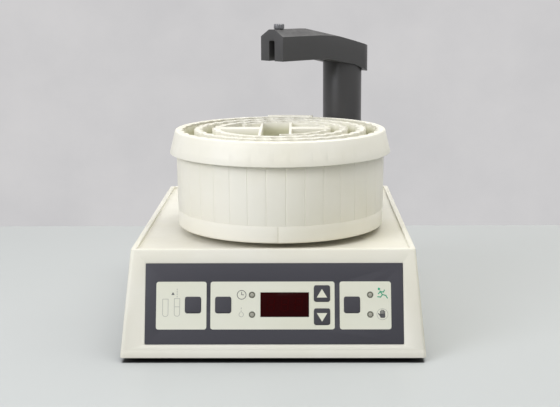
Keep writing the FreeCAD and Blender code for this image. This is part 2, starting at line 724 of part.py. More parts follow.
def housing_face(body):
    """The overlay recess, the openings behind it and the board pillars."""
    recess = sketch(body, face_point("0", "0", "0"), FACE)
    rectangle(recess, "0", "0", "panel_width + 2 * fit_gap", "panel_height + 2 * fit_gap")
    pocket(body, recess, "panel_recess")
    openings = sketch(body, face_point("0", "0", "0"), FACE)
    for x, y in KEYS.values():
        rectangle(openings, x, y, "key_hole", "key_hole")
    rectangle(openings, "window_x", "window_y", "module_width + fit_gap", "module_height + fit_gap")
    for x, y in LAMPS:
        circle(openings, x, y, "lamp_radius + fit_gap / 2")
    pocket(body, openings, "wall + 1")
    pillars = sketch(body, face_point("0", "0", "-board_depth"), FACE)
    holes = sketch(body, face_point("0", "0", "-board_depth"), FACE)
    for x, y in BOARD_BOSSES:
        circle(pillars, x, y, "board_boss_radius")
        circle(holes, x, y, "screw_radius + screw_gap")
    pad(body, pillars, "board_depth - face_normal_wall + 0.5")
    pocket(body, holes, "board_screw_length", ahead=True)


def housing_back(body):
    """The cut-outs in the back wall."""
    holes = sketch(body, ("0", "back_y - wall - 1", "0"), UPRIGHT)
    rectangle(holes, "inlet_x", "back_row_z", "inlet_width + fit_gap", "inlet_height + fit_gap")
    rectangle(holes, "switch_x", "back_row_z", "frame_width + fit_gap", "frame_height + fit_gap")
    circle(holes, "fuse_x", "back_row_z", "fuse_radius + fit_gap / 2")
    circle(holes, "socket_x", "back_row_z", "socket_radius + fit_gap / 2")
    pocket(body, holes, "wall + 2")


def base_pan():
    body = new_body()
    leaning_block(body, "foot_height", "split_height")
    rim = outline_sketch(body, "split_height", "wall")
    pocket(body, rim, "split_height - pan_top")
    tongue_top = "split_height + tongue_height"
    outer = outline_at(tongue_top, "wall + fit_gap")
    inner = outline_at(tongue_top, "wall + fit_gap + tongue_wall")
    tongue = sketch(body, ("0", "0", "pan_top"))
    polygon(tongue, outer)
    polygon(tongue, inner)
    pad(body, tongue, "%s - pan_top" % tongue_top)
    holes = sketch(body, ("0", "0", "pan_top"))
    sinks = sketch(body, ("0", "0", "foot_height"))
    for x, y in PAN_BOSSES:
        circle(holes, x, y, "pan_screw_radius + screw_gap")
        circle(sinks, x, y, "pan_screw_head + screw_gap")
    for x, y in FEET:
        circle(holes, x, y, "foot_stem_radius + screw_gap")
    for x, y in bracket_screws():
        circle(holes, x, y, "screw_radius + screw_gap")
    pocket(body, holes, "pan_floor + 1")
    pocket(body, sinks, "pan_screw_sink", ahead=True)
    node(body, "base_pan")


def rubber_feet():
    feet = []
    for x, y in FEET:
        foot = turned([
            ("0", "0"),
            ("foot_radius - 1", "0"),
            ("foot_radius", "1"),
            ("foot_radius", "foot_height"),
            ("foot_stem_radius", "foot_height"),
            ("foot_stem_radius", "pan_top + 1"),
            ("0", "pan_top + 1"),
        ])
        feet.append(stand(foot, x, y))
    node(together(feet), "rubber_feet")


def pan_screws():
    screws = []
    for x, y in PAN_BOSSES:
        head = rod("pan_screw_head", "pan_screw_sink", x, y, "foot_height")
        shank = rod("pan_screw_radius", "pan_screw_length", x, y, "foot_height")
        screws.append(joined(head, shank))
    node(together(screws), "pan_screws")


def keypad_overlay():
    body = new_body()
    sheet = rectangle(sketch(body), "0", "0", "panel_width", "panel_height")
    pad(body, sheet, "panel_recess + panel_proud")
    upright = Vector(0, 0, 1)
    round_edges(body, "panel_corner", lambda edge: along(edge, upright))
    holes = sketch(body)
    for x, y in KEYS.values():
        rectangle(holes, x, y, "key_hole", "key_hole")
    rectangle(holes, "window_x", "window_y", "window_width", "window_height")
    for x, y in LAMPS:
        circle(holes, x, y, "lamp_radius + fit_gap / 2")
    pocket(body, holes, "panel_recess + panel_proud", ahead=True)
    round_edges(body, "key_corner + key_gap", lambda edge: along(edge, upright) and near_key(edge))
    node(on_face(body, z="-panel_recess"), "keypad_overlay")


def near_key(edge):
    """Whether an edge of the overlay is at the opening of a key."""
    spot = edge.Vertexes[0].Point
    reach = number("key_hole") / 2 + 1
    middles = [(number(x), number(y)) for x, y in KEYS.values()]
    return any(abs(spot.x - x) < reach and abs(spot.y - y) < reach for x, y in middles)


def display():
    width, height = "window_width - fit_gap", "window_height - fit_gap"
    window = block(width, height, "window_thickness", "window_x", "window_y")
    node(on_face(together([window]), z="-panel_recess"), "display_window")
    module = block("module_width", "module_height", "module_depth", "window_x", "window_y")
    node(on_face(together([module]), z="-board_depth"), "display_module")


def lamps():
    """Four round lamps, each a lens with a collar that stands on the board."""
    things = []
    for x, y in LAMPS:
        lens = turned([
            ("0", "0"),
            ("lamp_collar", "0"),
            ("lamp_collar", "board_depth - face_normal_wall - 1"),
            ("lamp_radius", "board_depth - face_normal_wall"),
            ("lamp_radius", "board_depth"),
            ("lamp_radius / 2", "board_depth + lamp_proud"),
            ("0", "board_depth + lamp_proud"),
        ])
        things.append(on_face(lens, x, y, "-board_depth"))
    node(together(things), "indicator_lamps")


def display_board():
    sheet = block("board_width", "board_height", "board_thickness")
    holes = [rod("screw_radius + screw_gap", "board_thickness", x, y) for x, y in BOARD_BOSSES]
    board = on_face(cut(sheet, *holes), z="-board_depth - board_thickness")
    node(board, "display_board")
    switches = []
    for x, y in KEYS.values():
        case = block("switch_size", "switch_size", "switch_height", x, y)
        button = rod("switch_button", "switch_button_height", x, y, "switch_height")
        switches.append(on_face(joined(case, button), z="-board_depth"))
    node(together(switches), "key_switches")


def keys():
    """Square key caps with a flange that rests against the back of the wall."""
    for name, (x, y) in KEYS.items():
        body = new_body()
        cap = rectangle(sketch(body), "0", "0", "key_size", "key_size")
        pad(body, cap, "face_normal_wall + panel_proud + key_proud")
        upright = Vector(0, 0, 1)
        round_edges(body, "key_corner", lambda edge: along(edge, upright))
        wide = "key_hole + 2 * key_flange_width"
        flange = rectangle(sketch(body), "0", "0", wide, wide)
        pad(body, flange, "key_flange", back=True)
        node(on_face(body, x, y, "-face_normal_wall"), name)


def main_board():
    spots = [
        ("main_board_x %s (main_board_width / 2 - standoff_inset)" % sx,
         "main_board_y %s (main_board_depth / 2 - standoff_inset)" % sy)
        for sx in "-+" for sy in "-+"
    ]
    low = "pan_top + standoff_height"
    pillars = []
    for x, y in spots:
        pillar = rod("standoff_radius", "standoff_height", x, y, "pan_top")
        pillars.append(cut(pillar, rod("screw_radius + screw_gap", "standoff_height", x, y, "pan_top")))
    node(together(pillars), "board_standoffs")
    x, y = "main_board_x", "main_board_y"
    sheet = block("main_board_width", "main_board_depth", "board_thickness", x, y, low)
    holes = [rod("screw_radius + screw_gap", "board_thickness", x, y, low) for x, y in spots]
    node(cut(sheet, *holes), "main_board")
    top = "pan_top + standoff_height + board_thickness"
    board_components(top)
    return [screw(x, y, top, "standoff_height") for x, y in spots]


def board_components(top):
    """The larger parts on the main board: capacitors, chips, a heat sink and connectors."""
    cans = [("8", "20", "-52", "-22"), ("5", "14", "-32", "-28"), ("5", "14", "-20", "-28")]
    boxes = [
        ("36", "14", "4", "10", "-6"),
        ("26", "9", "4", "8", "16"),
        ("20", "9", "4", "-24", "12"),
        ("4", "24", "18", "-58", "10"),
        ("10", "28", "9", "60", "-14"),
        ("24", "8", "9", "36", "-32"),
        ("12", "12", "6", "40", "12"),
    ]
    things = []
    for radius, height, x, y in cans:
        things.append(rod(radius, height, "main_board_x + " + x, "main_board_y + " + y, top))
    for width, depth, height, x, y in boxes:
        things.append(block(width, depth, height, "main_board_x + " + x, "main_board_y + " + y, top))
    node(together(things), "board_components")


def transformer():
    x, y = "transformer_x", "transformer_y"
    stack = block("core_width", "core_depth", "core_height", x, y, "pan_top")
    reach = "core_width / 2 - core_leg - core_window / 2"
    window_height = "core_height - 2 * core_leg"
    windows = []
    for sign in "-+":
        window_x = "%s %s (%s)" % (x, sign, reach)
        windows.append(block("core_window", "core_depth", window_height, window_x, y, "pan_top + core_leg"))
    node(cut(stack, *windows), "transformer_core")
    leg = "core_width - 2 * core_leg - 2 * core_window"
    gap = "winding_gap"
    low = "pan_top + core_leg + " + gap
    height = "%s - 2 * %s" % (window_height, gap)
    width = "core_width - 2 * core_leg - 2 * " + gap
    around = block(width, "core_depth + 2 * winding_overhang", height, x, y, low)
    inside = block("%s + 2 * %s" % (leg, gap), "core_depth + 2 * " + gap, height, x, y, low)
    node(cut(around, inside), "transformer_winding")


def power_inlet():
    """A recessed appliance inlet with three blades, and the free mouth around them."""
    x, z = "inlet_x", "back_row_z"
    low = "%s - inlet_height / 2" % z
    case = block("inlet_width", "inlet_depth", "inlet_height", x, "back_y - inlet_depth / 2", low)
    rim_width = "inlet_width + 2 * inlet_rim"
    rim_height = "inlet_height + 2 * inlet_rim"
    rim_low = "%s - inlet_height / 2 - inlet_rim" % z
    rim = block(rim_width, "flange_thickness", rim_height, x, "back_y + flange_thickness / 2", rim_low)
    depth = "inlet_depth - inlet_wall + flange_thickness"
    mouth = block("inlet_width - 2 * inlet_wall", depth, "inlet_height - 2 * inlet_wall",
                  x, "back_y + flange_thickness - (%s) / 2" % depth, low + " + inlet_wall")
    shell = cut(joined(case, rim), mouth)
    floor = "back_y - inlet_depth + inlet_wall + blade_length / 2"
    blades = [
        block("blade_width", "blade_length", "blade_height", "%s + %s" % (x, dx), floor,
              "%s - blade_height / 2 + %s" % (z, dz))
        for dx, dz in (("-blade_pitch", "-1.5"), ("0", "2.5"), ("blade_pitch", "-1.5"))
    ]
    node(joined(shell, *blades), "power_inlet")


def power_switch():
    """A switch body open to the back, with a rocker on a cross pin."""
    x, z = "switch_x", "back_row_z"
    low = "%s - frame_height / 2" % z
    case = block("frame_width", "frame_depth", "frame_height", x, "back_y - frame_depth / 2", low)
    rim = block("frame_width + 2 * frame_rim", "flange_thickness", "frame_height + 2 * frame_rim",
                x, "back_y + flange_thickness / 2", low + " - frame_rim")
    depth = "frame_depth - frame_wall + flange_thickness"
    mouth = block("frame_width - 2 * frame_wall", depth, "frame_height - 2 * frame_wall",
                  x, "back_y + flange_thickness - (%s) / 2" % depth, low + " + frame_wall")
    across = (Vector(0, 1, 0), "90")
    width = "frame_width - 2 * frame_wall"
    hole = rod("rocker_pivot_radius + screw_gap", width + " + 1.6", "%s - (%s) / 2 - 0.8" % (x, width),
               "rocker_y", z, across)
    node(cut(joined(case, rim), mouth, hole), "power_switch_frame")
    body = new_body()
    side = sketch(body, turn=CROSS)
    tall = "(frame_height / 2 - frame_wall - rocker_gap)"
    polygon(side, [
        ("-3", "-2"),
        ("0", "-" + tall),
        ("rocker_radius - 4.5", "-%s + 0.4" % tall),
        ("rocker_radius - 5.5", "0"),
        ("rocker_radius - 4.5", "%s - 0.4" % tall),
        ("0", tall),
        ("-3", "2"),
    ])
    pad(body, side, "%s - 2 * rocker_gap" % width, middle=True)
    pin = circle(sketch(body, turn=CROSS), "0", "0", "rocker_pivot_radius")
    pad(body, pin, width + " + 1.4", middle=True)
    node(stand(body, x, "rocker_y", z, (Vector(1, 0, 0), "-rocker_throw / 2")), "power_rocker")


def back_wall_rounds():
    """The fuse holder and the signal socket, both turned about an axis square to the back wall."""
    outward = (Vector(1, 0, 0), "-90")
    fuse = turned([
        ("0", "-fuse_depth"),
        ("fuse_radius - 1", "-fuse_depth"),
        ("fuse_radius", "-fuse_depth + 2"),
        ("fuse_radius", "0"),
        ("fuse_cap_radius", "0"),
        ("fuse_cap_radius", "fuse_cap_height - 1"),
        ("fuse_cap_radius - 1", "fuse_cap_height"),
        ("0", "fuse_cap_height"),
    ])
    node(stand(fuse, "fuse_x", "back_y", "back_row_z", outward), "fuse_holder")
    socket = turned([
        ("0", "-socket_depth"),
        ("socket_radius", "-socket_depth"),
        ("socket_radius", "0"),
        ("socket_rim", "0"),
        ("socket_rim", "flange_thickness"),
        ("socket_bore", "flange_thickness"),
        ("socket_bore", "flange_thickness - socket_mouth_depth"),
        ("0", "flange_thickness - socket_mouth_depth"),
    ])
    node(stand(socket, "socket_x", "back_y", "back_row_z", outward), "signal_socket")


def spindle_parts():
    """The spindle, its housing with two bearings, and what turns with it."""
    where = ("rack_x", "rack_y")
    bearing = "bearing_radius + press_gap"
    low = "spindle_tube_low"
    flange_low = "deck_under - flange_height"
    housing = turned([
        (bearing, low),
        ("spindle_tube", low),
        ("spindle_tube", flange_low),
        ("spindle_flange", flange_low),
        ("spindle_flange", "deck_under"),
        (bearing, "deck_under"),
        (bearing, "deck_under - bearing_width"),
        ("spindle_shoulder", "deck_under - bearing_width"),
        ("spindle_shoulder", low + " + bearing_width"),
        (bearing, low + " + bearing_width"),
    ])
    flange_holes(housing, "spindle_flange", flange_low)
    node(stand(housing, *where), "spindle_housing")
    bearings = []
    for height in (low, "deck_under - bearing_width"):
        outline = ring("spindle_radius + press_gap", "bearing_radius", height, height + " + bearing_width")
        bearings.append(stand(turned(outline), *where))
    node(together(bearings), "spindle_bearings")
    node(rod("spindle_radius", "hub_shoulder - pulley_low + 3", *where, "pulley_low - 3"), "spindle")
    turntable_hub(where)
    node(pulley("driven_radius", "spindle_radius", *where), "driven_pulley")
    index_parts(where)


def flange_holes(body, flange, low):
    """Three clearance holes through a flange."""
    holes = sketch(body, ("0", "0", low))
    reach = "(%s - flange_screw_inset)" % flange
    for angle in ("210", "330", "90"):
        x, y = "%s * cos(%s)" % (reach, angle), "%s * sin(%s)" % (reach, angle)
        circle(holes, x, y, "screw_radius + screw_gap")
    pocket(body, holes, "flange_height", ahead=True)


def turntable_hub(where):
    bore = "spindle_radius + press_gap"
    hub = turned([
        (bore, "hub_bottom"),
        ("hub_radius", "hub_bottom"),
        ("hub_radius", "rack_bottom"),
        ("hub_nose_radius", "rack_bottom"),
        ("hub_nose_radius", "hub_shoulder"),
        ("spindle_radius", "hub_shoulder + hub_cone_height"),
        ("0", "hub_shoulder + hub_cone_height"),
        ("0", "hub_shoulder"),
        (bore, "hub_shoulder"),
    ])
    pins = sketch(hub, ("0", "0", "rack_bottom"))
    for place in ("-drive_pin_place", "drive_pin_place"):
        circle(pins, place, "0", "drive_pin_radius")
    pad(hub, pins, "tray_floor")
    node(stand(hub, *where), "turntable_hub")


def pulley(seat, shaft, x, y, gap="press_gap"):
    """A flanged belt pulley that is pressed on a shaft."""
    bore = "%s + %s" % (shaft, gap)
    rim = "%s + pulley_lip" % seat
    return stand(turned([
        (bore, "pulley_low"),
        (rim, "pulley_low"),
        (rim, "pulley_low + pulley_flange"),
        (seat, "pulley_low + pulley_flange"),
        (seat, "pulley_top - pulley_flange"),
        (rim, "pulley_top - pulley_flange"),
        (rim, "pulley_top"),
        (bore, "pulley_top"),
    ]), x, y)


def index_parts(where):
    """A notched disc on the driven pulley, and the slotted sensor that hangs under the deck."""
    x, y = where
    low = "pulley_top"
    disc = rod("disc_radius", "disc_thickness", x, y, low)
    bore = rod("spindle_radius + press_gap", "disc_thickness", x, y, low)
    notch = block("disc_notch", "disc_notch * 2", "disc_thickness", x, "%s + disc_radius - 1" % y, low)
    node(cut(disc, bore, notch), "index_disc")
    inner = "%s + spindle_flange + 1" % y
    bottom = low + " - 4"
    height = "deck_under - (%s)" % bottom
    arm = block("sensor_width", "sensor_reach", height, x, "%s + sensor_reach / 2" % inner, bottom)
    slot_depth = "disc_radius - spindle_flange + 1"
    slot = block("sensor_width", slot_depth, "sensor_slot", x, "%s + (%s) / 2" % (inner, slot_depth),
                 low + " + disc_thickness / 2 - sensor_slot / 2")
    node(cut(arm, slot), "index_sensor")


def belt(x, y, large, spacing):
    """A flat belt round a large pulley and a motor pulley that lies to its left."""
    seat = number("motor_pulley_radius") + number("belt_gap")
    wide = number(large) + number("belt_gap")
    low = number("pulley_low") + number("pulley_flange") + number("belt_side_gap")
    high = number("pulley_top") - number("pulley_flange") - number("belt_side_gap")
    reach = number(spacing)
    slope = math.asin((wide - seat) / reach)
    tangent = Vector(-math.sin(slope), math.cos(slope), 0)

    def loop(extra):
        centre = Vector(-reach, 0, 0)
        mirror = Vector(tangent.x, -tangent.y, 0)
        ahead = Vector(1, 0, 0)
        big = [way * (wide + extra) for way in (tangent, ahead, mirror)]
        small = [centre + way * (seat + extra) for way in (mirror, -ahead, tangent)]
        edges = [
            Part.Arc(*big).toShape(),
            Part.LineSegment(big[2], small[0]).toShape(),
            Part.Arc(*small).toShape(),
            Part.LineSegment(small[2], big[0]).toShape(),
        ]
        return Part.Face(Part.Wire(edges))

    band = loop(number("belt_thickness")).cut(loop(0.0)).extrude(Vector(0, 0, high - low))
    return stand(worked_out(band), x, y, "pulley_low + pulley_flange + belt_side_gap")


def motor(name):
    """A square motor that hangs from its bracket, with the bracket, the shaft and the pulley."""
    x, y = MOTORS[name]
    body = new_body()
    top = "bracket_top - bracket_thickness"
    case = sketch(body, ("0", "0", "%s - motor_height" % top))
    pad(body, rectangle(case, "0", "0", "motor_size", "motor_size"), "motor_height")
    upright = Vector(0, 0, 1)
    round_edges(body, "motor_corner", lambda edge: along(edge, upright))
    pad(body, circle(sketch(body, ("0", "0", top)), "0", "0", "motor_pilot"), "motor_pilot_height")
    holes = sketch(body, ("0", "0", top + " + motor_pilot_height"))
    circle(holes, "0", "0", "motor_shaft_radius + journal_gap")
    pocket(body, holes, "motor_height / 2 + motor_pilot_height")
    threads = sketch(body, ("0", "0", top))
    for x_sign in ("-", ""):
        for y_sign in ("-", ""):
            spot = (x_sign + "motor_screw_place", y_sign + "motor_screw_place")
            circle(threads, *spot, "screw_radius + screw_gap")
    pocket(body, threads, "5")
    node(stand(body, x, y), name + "_motor")
    node(motor_bracket(x, y), name + "_motor_bracket")
    shaft_low = "%s - motor_height / 2" % top
    node(rod("motor_shaft_radius", "pulley_top - (%s)" % shaft_low, x, y, shaft_low), name + "_motor_shaft")
    node(pulley("motor_pulley_radius", "motor_shaft_radius", x, y), name + "_motor_pulley")


def motor_bracket(x, y):
    inside = "motor_size + 2 * bracket_gap"
    outside = inside + " + 2 * bracket_thickness"
    top = "bracket_top - bracket_thickness"
    plate = block(outside, "motor_size", "bracket_thickness", x, y, top)
    legs = []
    for sign in "-+":
        leg_x = "%s %s ((%s) / 2 + bracket_thickness / 2)" % (x, sign, inside)
        legs.append(block("bracket_thickness", "motor_size", "%s - pan_top" % top, leg_x, y, "pan_top"))
        foot_x = "%s %s ((%s) / 2 + bracket_foot / 2)" % (x, sign, inside)
        legs.append(block("bracket_foot", "motor_size", "bracket_thickness", foot_x, y, "pan_top"))
    pilot = rod("motor_pilot + fit_gap", "bracket_thickness", x, y, top)
    holes = [
        rod("screw_radius + screw_gap", "bracket_thickness", "%s %s motor_screw_place" % (x, sx),
            "%s %s motor_screw_place" % (y, sy), top)
        for sx in "-+" for sy in "-+"
    ]
    for sign in "-+":
        foot_x = "%s %s (%s)" % (x, sign, bracket_screw_reach())
        holes.append(rod("screw_radius + screw_gap", "bracket_thickness", foot_x, y, "pan_top"))
    return cut(joined(plate, *legs), pilot, *holes)


def bracket_screw_reach():
    return "motor_size / 2 + bracket_gap + bracket_thickness / 2 + bracket_foot / 2 + 0.4"


def bracket_screws():
    return [("%s %s (%s)" % (x, sign, bracket_screw_reach()), y) for x, y in MOTORS.values() for sign in "-+"]


def column_parts():
    """The post with its journal, the housing that carries it and its pulley."""
    where = ("post_x", "post_y")
    bore = "journal_radius + journal_gap"
    low = "column_tube_low"
    flange_low = "deck_under - flange_height"
    housing = turned([
        (bore, low),
        ("column_tube", low),
        ("column_tube", flange_low),
        ("column_flange", flange_low),
        ("column_flange", "deck_under"),
        ("column_spigot", "deck_under"),
        ("column_spigot", "column_foot"),
        (bore, "column_foot"),
    ])
    flange_holes(housing, "column_flange", flange_low)
    node(stand(housing, *where), "column_housing")
    column = turned([
        ("column_bore", "pulley_low - 2"),
        ("journal_radius", "pulley_low - 2"),
        ("journal_radius", "column_foot"),
        ("column_radius", "column_foot"),
        ("column_radius", "column_top"),
        ("column_bore", "column_top"),
    ])
    node(stand(column, *where), "arm_column")
    node(pulley("arm_pulley_radius", "journal_radius", *where), "arm_pulley")


def arm_stand(body):
    """Places a body drawn along +X from the post axis."""
    return stand(body, "post_x", "post_y", "0", (Vector(0, 0, 1), "arm_angle"))


def arm_shell():
    body = new_body()
    outline = sketch(body, ("0", "0", "belly_low"))
    half_head = "head_width / 2"
    half_elbow = "elbow_width / 2"
    polygon(outline, [
        ("arm_length", "-" + half_head),
        ("arm_length", half_head),
        ("flare_start", half_head),
        ("flare_end", half_elbow),
        ("-elbow_rear", half_elbow),
        ("-elbow_rear", "-" + half_elbow),
        ("flare_end", "-" + half_elbow),
        ("flare_start", "-" + half_head),
    ])
    pad(body, outline, "head_top - belly_low")
    upright = Vector(0, 0, 1)
    round_edges(body, "elbow_corner", lambda edge: along(edge, upright) and edge.Vertexes[0].Point.x < 0)
    roof = sketch(body, turn=UPRIGHT)
    polygon(roof, [
        ("roof_start", "head_top"),
        ("roof_start", "head_top + 5"),
        ("-elbow_rear - 5", "head_top + 5"),
        ("-elbow_rear - 5", "rear_top - rear_bevel - 5"),
        ("-elbow_rear", "rear_top - rear_bevel"),
        ("rear_bevel - elbow_rear", "rear_top + rear_bevel * tan(roof_lean)"),
    ])
    pocket(body, roof, "elbow_width + 10", middle=True)
    belly = sketch(body, turn=UPRIGHT)
    polygon(belly, [
        ("arm_length + 5", "head_bottom"),
        ("belly_start", "head_bottom"),
        ("belly_knee", "knee_z"),
        ("heel_bevel - elbow_rear", "belly_low + heel_bevel * tan(knee_lean)"),
        ("-elbow_rear", "belly_low + heel_bevel * (1 + tan(knee_lean))"),
        ("-elbow_rear - 5", "belly_low + heel_bevel * (1 + tan(knee_lean)) + 5"),
        ("-elbow_rear - 5", "belly_low - 5"),
        ("arm_length + 5", "belly_low - 5"),
    ])
    pocket(body, belly, "elbow_width + 10", middle=True)
    shoulder = sketch(body, turn=CROSS)
    span = "(shoulder_width + 5 + (elbow_width - head_width) / 2)"
    for sign in ("", "-"):
        polygon(shoulder, [
            (sign + "(head_width / 2 - shoulder_width)", "head_top"),
            (sign + "(elbow_width / 2 + 5)", "head_top"),
            (sign + "(elbow_width / 2 + 5)", "head_top - shoulder_height * %s / shoulder_width" % span),
        ])
    pocket(body, shoulder, "2 * arm_length + 10", middle=True)
    arm_hollows(body)
    node(arm_stand(body), "arm_shell")


def arm_hollows(body):
    """The socket for the post, the wire duct with its cover seat, the end slot and the sensor seats."""
    socket = circle(sketch(body, ("0", "0", "belly_low - 5")), "0", "0", "column_radius + screw_gap")
    pocket(body, socket, "column_top - belly_low + 5", ahead=True)
    middle = "(duct_start + duct_end) / 2"
    length = "(duct_end - duct_start)"
    width = "(head_width - 2 * arm_wall - 2 * cover_rim)"
    duct = rectangle(sketch(body, ("0", "0", "head_bottom")), middle, "0", length, width)
    pocket(body, duct, "duct_height", ahead=True)
    seat = rectangle(sketch(body, ("0", "0", "head_bottom")), middle, "0",
                     length + " + 2 * cover_rim", width + " + 2 * cover_rim")
    pocket(body, seat, "cover_thickness", ahead=True)
    passage = circle(sketch(body, turn=CROSS), "0", "column_top - duct_radius - 1", "duct_radius - 1")
    pocket(body, passage, "duct_start + 1", ahead=True)
    slot = sketch(body, ("arm_length - slot_depth", "0", "0"), CROSS)
    rectangle(slot, "0", "(head_bottom - 5 + slot_top) / 2", "slot_width", "slot_top - head_bottom + 5")
    pocket(body, slot, "slot_depth + 5", ahead=True)
    top = number("slot_top")
    round_edges(body, "slot_corner", lambda edge: along(edge, Vector(1, 0, 0)) and level_at(edge, top))
    hole = circle(sketch(body, ("0", "0", "slot_top - 1")), "drop_reach", "0", "former_thread + thread_gap")
    pocket(body, hole, "head_top - slot_top + 2", ahead=True)
    eyes = sketch(body, ("0", "0", "eye_z - eye_height / 2"))
    rectangle(eyes, "drop_reach", "0", "eye_width", "slot_width + 2 * eye_seat")
    pocket(body, eyes, "eye_height", ahead=True)


def arm_cover():
    sheet = block("duct_end - duct_start + 2 * cover_rim - fit_gap",
                  "head_width - 2 * arm_wall - fit_gap", "cover_thickness",
                  "(duct_start + duct_end) / 2", "0", "head_bottom")
    node(arm_stand(together([sheet])), "arm_cover")


def drop_parts():
    """The drop former in the head, its clamp nut and the two sensor noses."""
    former = turned([
        ("former_bore", "former_end"),
        ("former_tip", "former_end"),
        ("former_tip", "former_waist - former_taper"),
        ("former_radius", "former_waist"),
        ("former_radius", "slot_top"),
        ("former_thread", "slot_top"),
        ("former_thread", "head_top"),
        ("former_flange", "head_top"),
        ("former_flange", "head_top + former_flange_height"),
        ("former_thread", "head_top + former_flange_height"),
        ("former_thread", "head_top + former_neck"),
        ("former_bore", "head_top + former_neck"),
    ])
    along_arm = ("post_x + drop_reach * cos(arm_angle)", "post_y + drop_reach * sin(arm_angle)")
    node(stand(former, *along_arm), "drop_former")
    low = "head_top + former_flange_height"
    high = low + " + nut_height"
    inside = "former_thread + thread_gap"
    nut = turned([
        (inside, low),
        ("nut_radius", low),
        ("nut_radius", high + " - 0.5"),
        ("nut_radius - 0.5", high),
        ("nut_bore", high),
        ("nut_bore", high + " - nut_roof"),
        (inside, high + " - nut_roof"),
    ])
    flute = circle(sketch(nut, ("0", "0", low)), "nut_radius + flute_radius / 3", "0", "flute_radius")
    polar(nut, pocket(nut, flute, "nut_height", ahead=True), "nut_flutes")
    node(stand(nut, *along_arm), "tubing_clamp_nut")
    reach = "(slot_width / 2 + eye_seat - (eye_seat + eye_proud) / 2)"
    eyes = [
        block("eye_width - 0.1", "eye_seat + eye_proud", "eye_height - 0.1", "drop_reach", sign + reach,
              "eye_z - eye_height / 2 + 0.05")
        for sign in ("-", "")
    ]
    node(arm_stand(together(eyes)), "drop_sensors")


def wells(body, row, count, phase):
    """A row of tube wells cut from the rack floor to the top."""
    spot = sketch(body, ("0", "0", "rack_inside"))
    circle(spot, "%s * cos(%s)" % (row, phase), "%s * sin(%s)" % (row, phase), "well_radius")
    polar(body, pocket(body, spot, "rack_top - rack_inside + 5", ahead=True), count)


OUTER_PHASE = "rack_turn + 180 / facets"
MIDDLE_PHASE = "rack_turn"


def rack_tray():
    body = turned([
        ("hub_nose_radius + hub_gap", "rack_bottom"),
        ("tray_bottom_radius - 1", "rack_bottom"),
        ("tray_bottom_radius", "rack_bottom + 1"),
        ("wall_seam_radius", "tray_top"),
        ("wall_seam_radius - tray_wall", "tray_top"),
        ("wall_seam_radius - tray_wall", "rack_inside"),
        ("hub_nose_radius + hub_gap", "rack_inside"),
    ])
    pins = sketch(body, ("0", "0", "rack_bottom"))
    for place in ("-drive_pin_place", "drive_pin_place"):
        circle(pins, place, "0", "drive_pin_radius + drive_pin_gap")
    pocket(body, pins, "tray_floor", ahead=True)
    mark = sketch(body, ("0", "0", "rack_bottom"))
    rectangle(mark, "mark_x", "-tray_bottom_radius", "mark_width", "2 * mark_depth")
    pocket(body, mark, "tray_height", ahead=True)
    node(stand(body, "rack_x", "rack_y"), "rack_tray")


def facet_wire(radius, height):
    """The many-sided outline of the outer wall at a height, with a groove at each corner."""
    count = int(number("facets"))
    half = number("groove_width") / 2 / radius
    spots = []
    for step in range(count):
        turn = math.radians(number("rack_turn")) + 2 * math.pi * step / count
        for aside, reach in ((-half, radius), (0, radius - number("groove_depth")), (half, radius)):
            spots.append(Vector(reach * math.cos(turn + aside), reach * math.sin(turn + aside), height))
    return Part.makePolygon(spots + spots[:1])


def well_rods(row, count, phase, pitch, low, high):
    """Rods that stand for the wells of a row, as one shape."""
    rods = []
    for step in range(count):
        angle = math.radians(phase + pitch * step)
        foot = Vector(row * math.cos(angle), row * math.sin(angle), low)
        rods.append(Part.makeCylinder(number("well_radius"), high - low, foot))
    return Part.makeCompound(rods)


def rack_outer_wall():
    seam, top = number("tray_top"), number("rim_under")
    low = number("rack_inside")
    faceted = Part.makeLoft([
        facet_wire(number("wall_seam_radius"), seam),
        facet_wire(number("wall_top_radius"), top),
    ], True, True)
    spigot = Part.makeCylinder(number("spigot_radius"), seam - low, Vector(0, 0, low))
    bore = Part.makeCylinder(number("outer_slot_outside"), top - low, Vector(0, 0, low))
    count = int(number("outer_wells"))
    phase = number("rack_turn") + 180 / number("facets")
    rods = well_rods(number("outer_row"), count, phase, 360 / count, low, top)
    shape = faceted.fuse(spigot).cut(bore).cut(rods)
    node(stand(worked_out(shape), "rack_x", "rack_y"), "rack_outer_wall")


def rack_rim():
    """The rim plate with its flared skirt, the well scallops and the tab at the back."""
    slope = "((skirt_radius - rim_radius) / skirt_height)"
    inner_top = "wall_top_radius + rim_gap"
    body = turned([
        ("outer_slot_outside", "rim_under"),
        (inner_top, "rim_under"),
        ("skirt_radius - skirt_thickness", "rack_top - skirt_height"),
        ("skirt_radius", "rack_top - skirt_height"),
        ("rim_radius + rim_rounding * " + slope, "rack_top - rim_rounding"),
        ("rim_radius - rim_rounding", "rack_top"),
        ("outer_slot_outside", "rack_top"),
    ])
    wells(body, "outer_row", "outer_wells", OUTER_PHASE)
    top = number("rack_top")
    start, end = number("tab_start"), number("tab_end")
    outside = number("rim_radius") - number("rim_rounding")
    inside = outside - number("tab_width")
    sector = Part.makeCylinder(outside, number("tab_height"), Vector(0, 0, top), Vector(0, 0, 1), end - start)
    sector = sector.cut(Part.makeCylinder(inside, number("tab_height"), Vector(0, 0, top)))
    sector.rotate(Vector(), Vector(0, 0, 1), start)
    rim = joined(body, worked_out(sector))
    node(stand(rim, "rack_x", "rack_y"), "rack_rim")


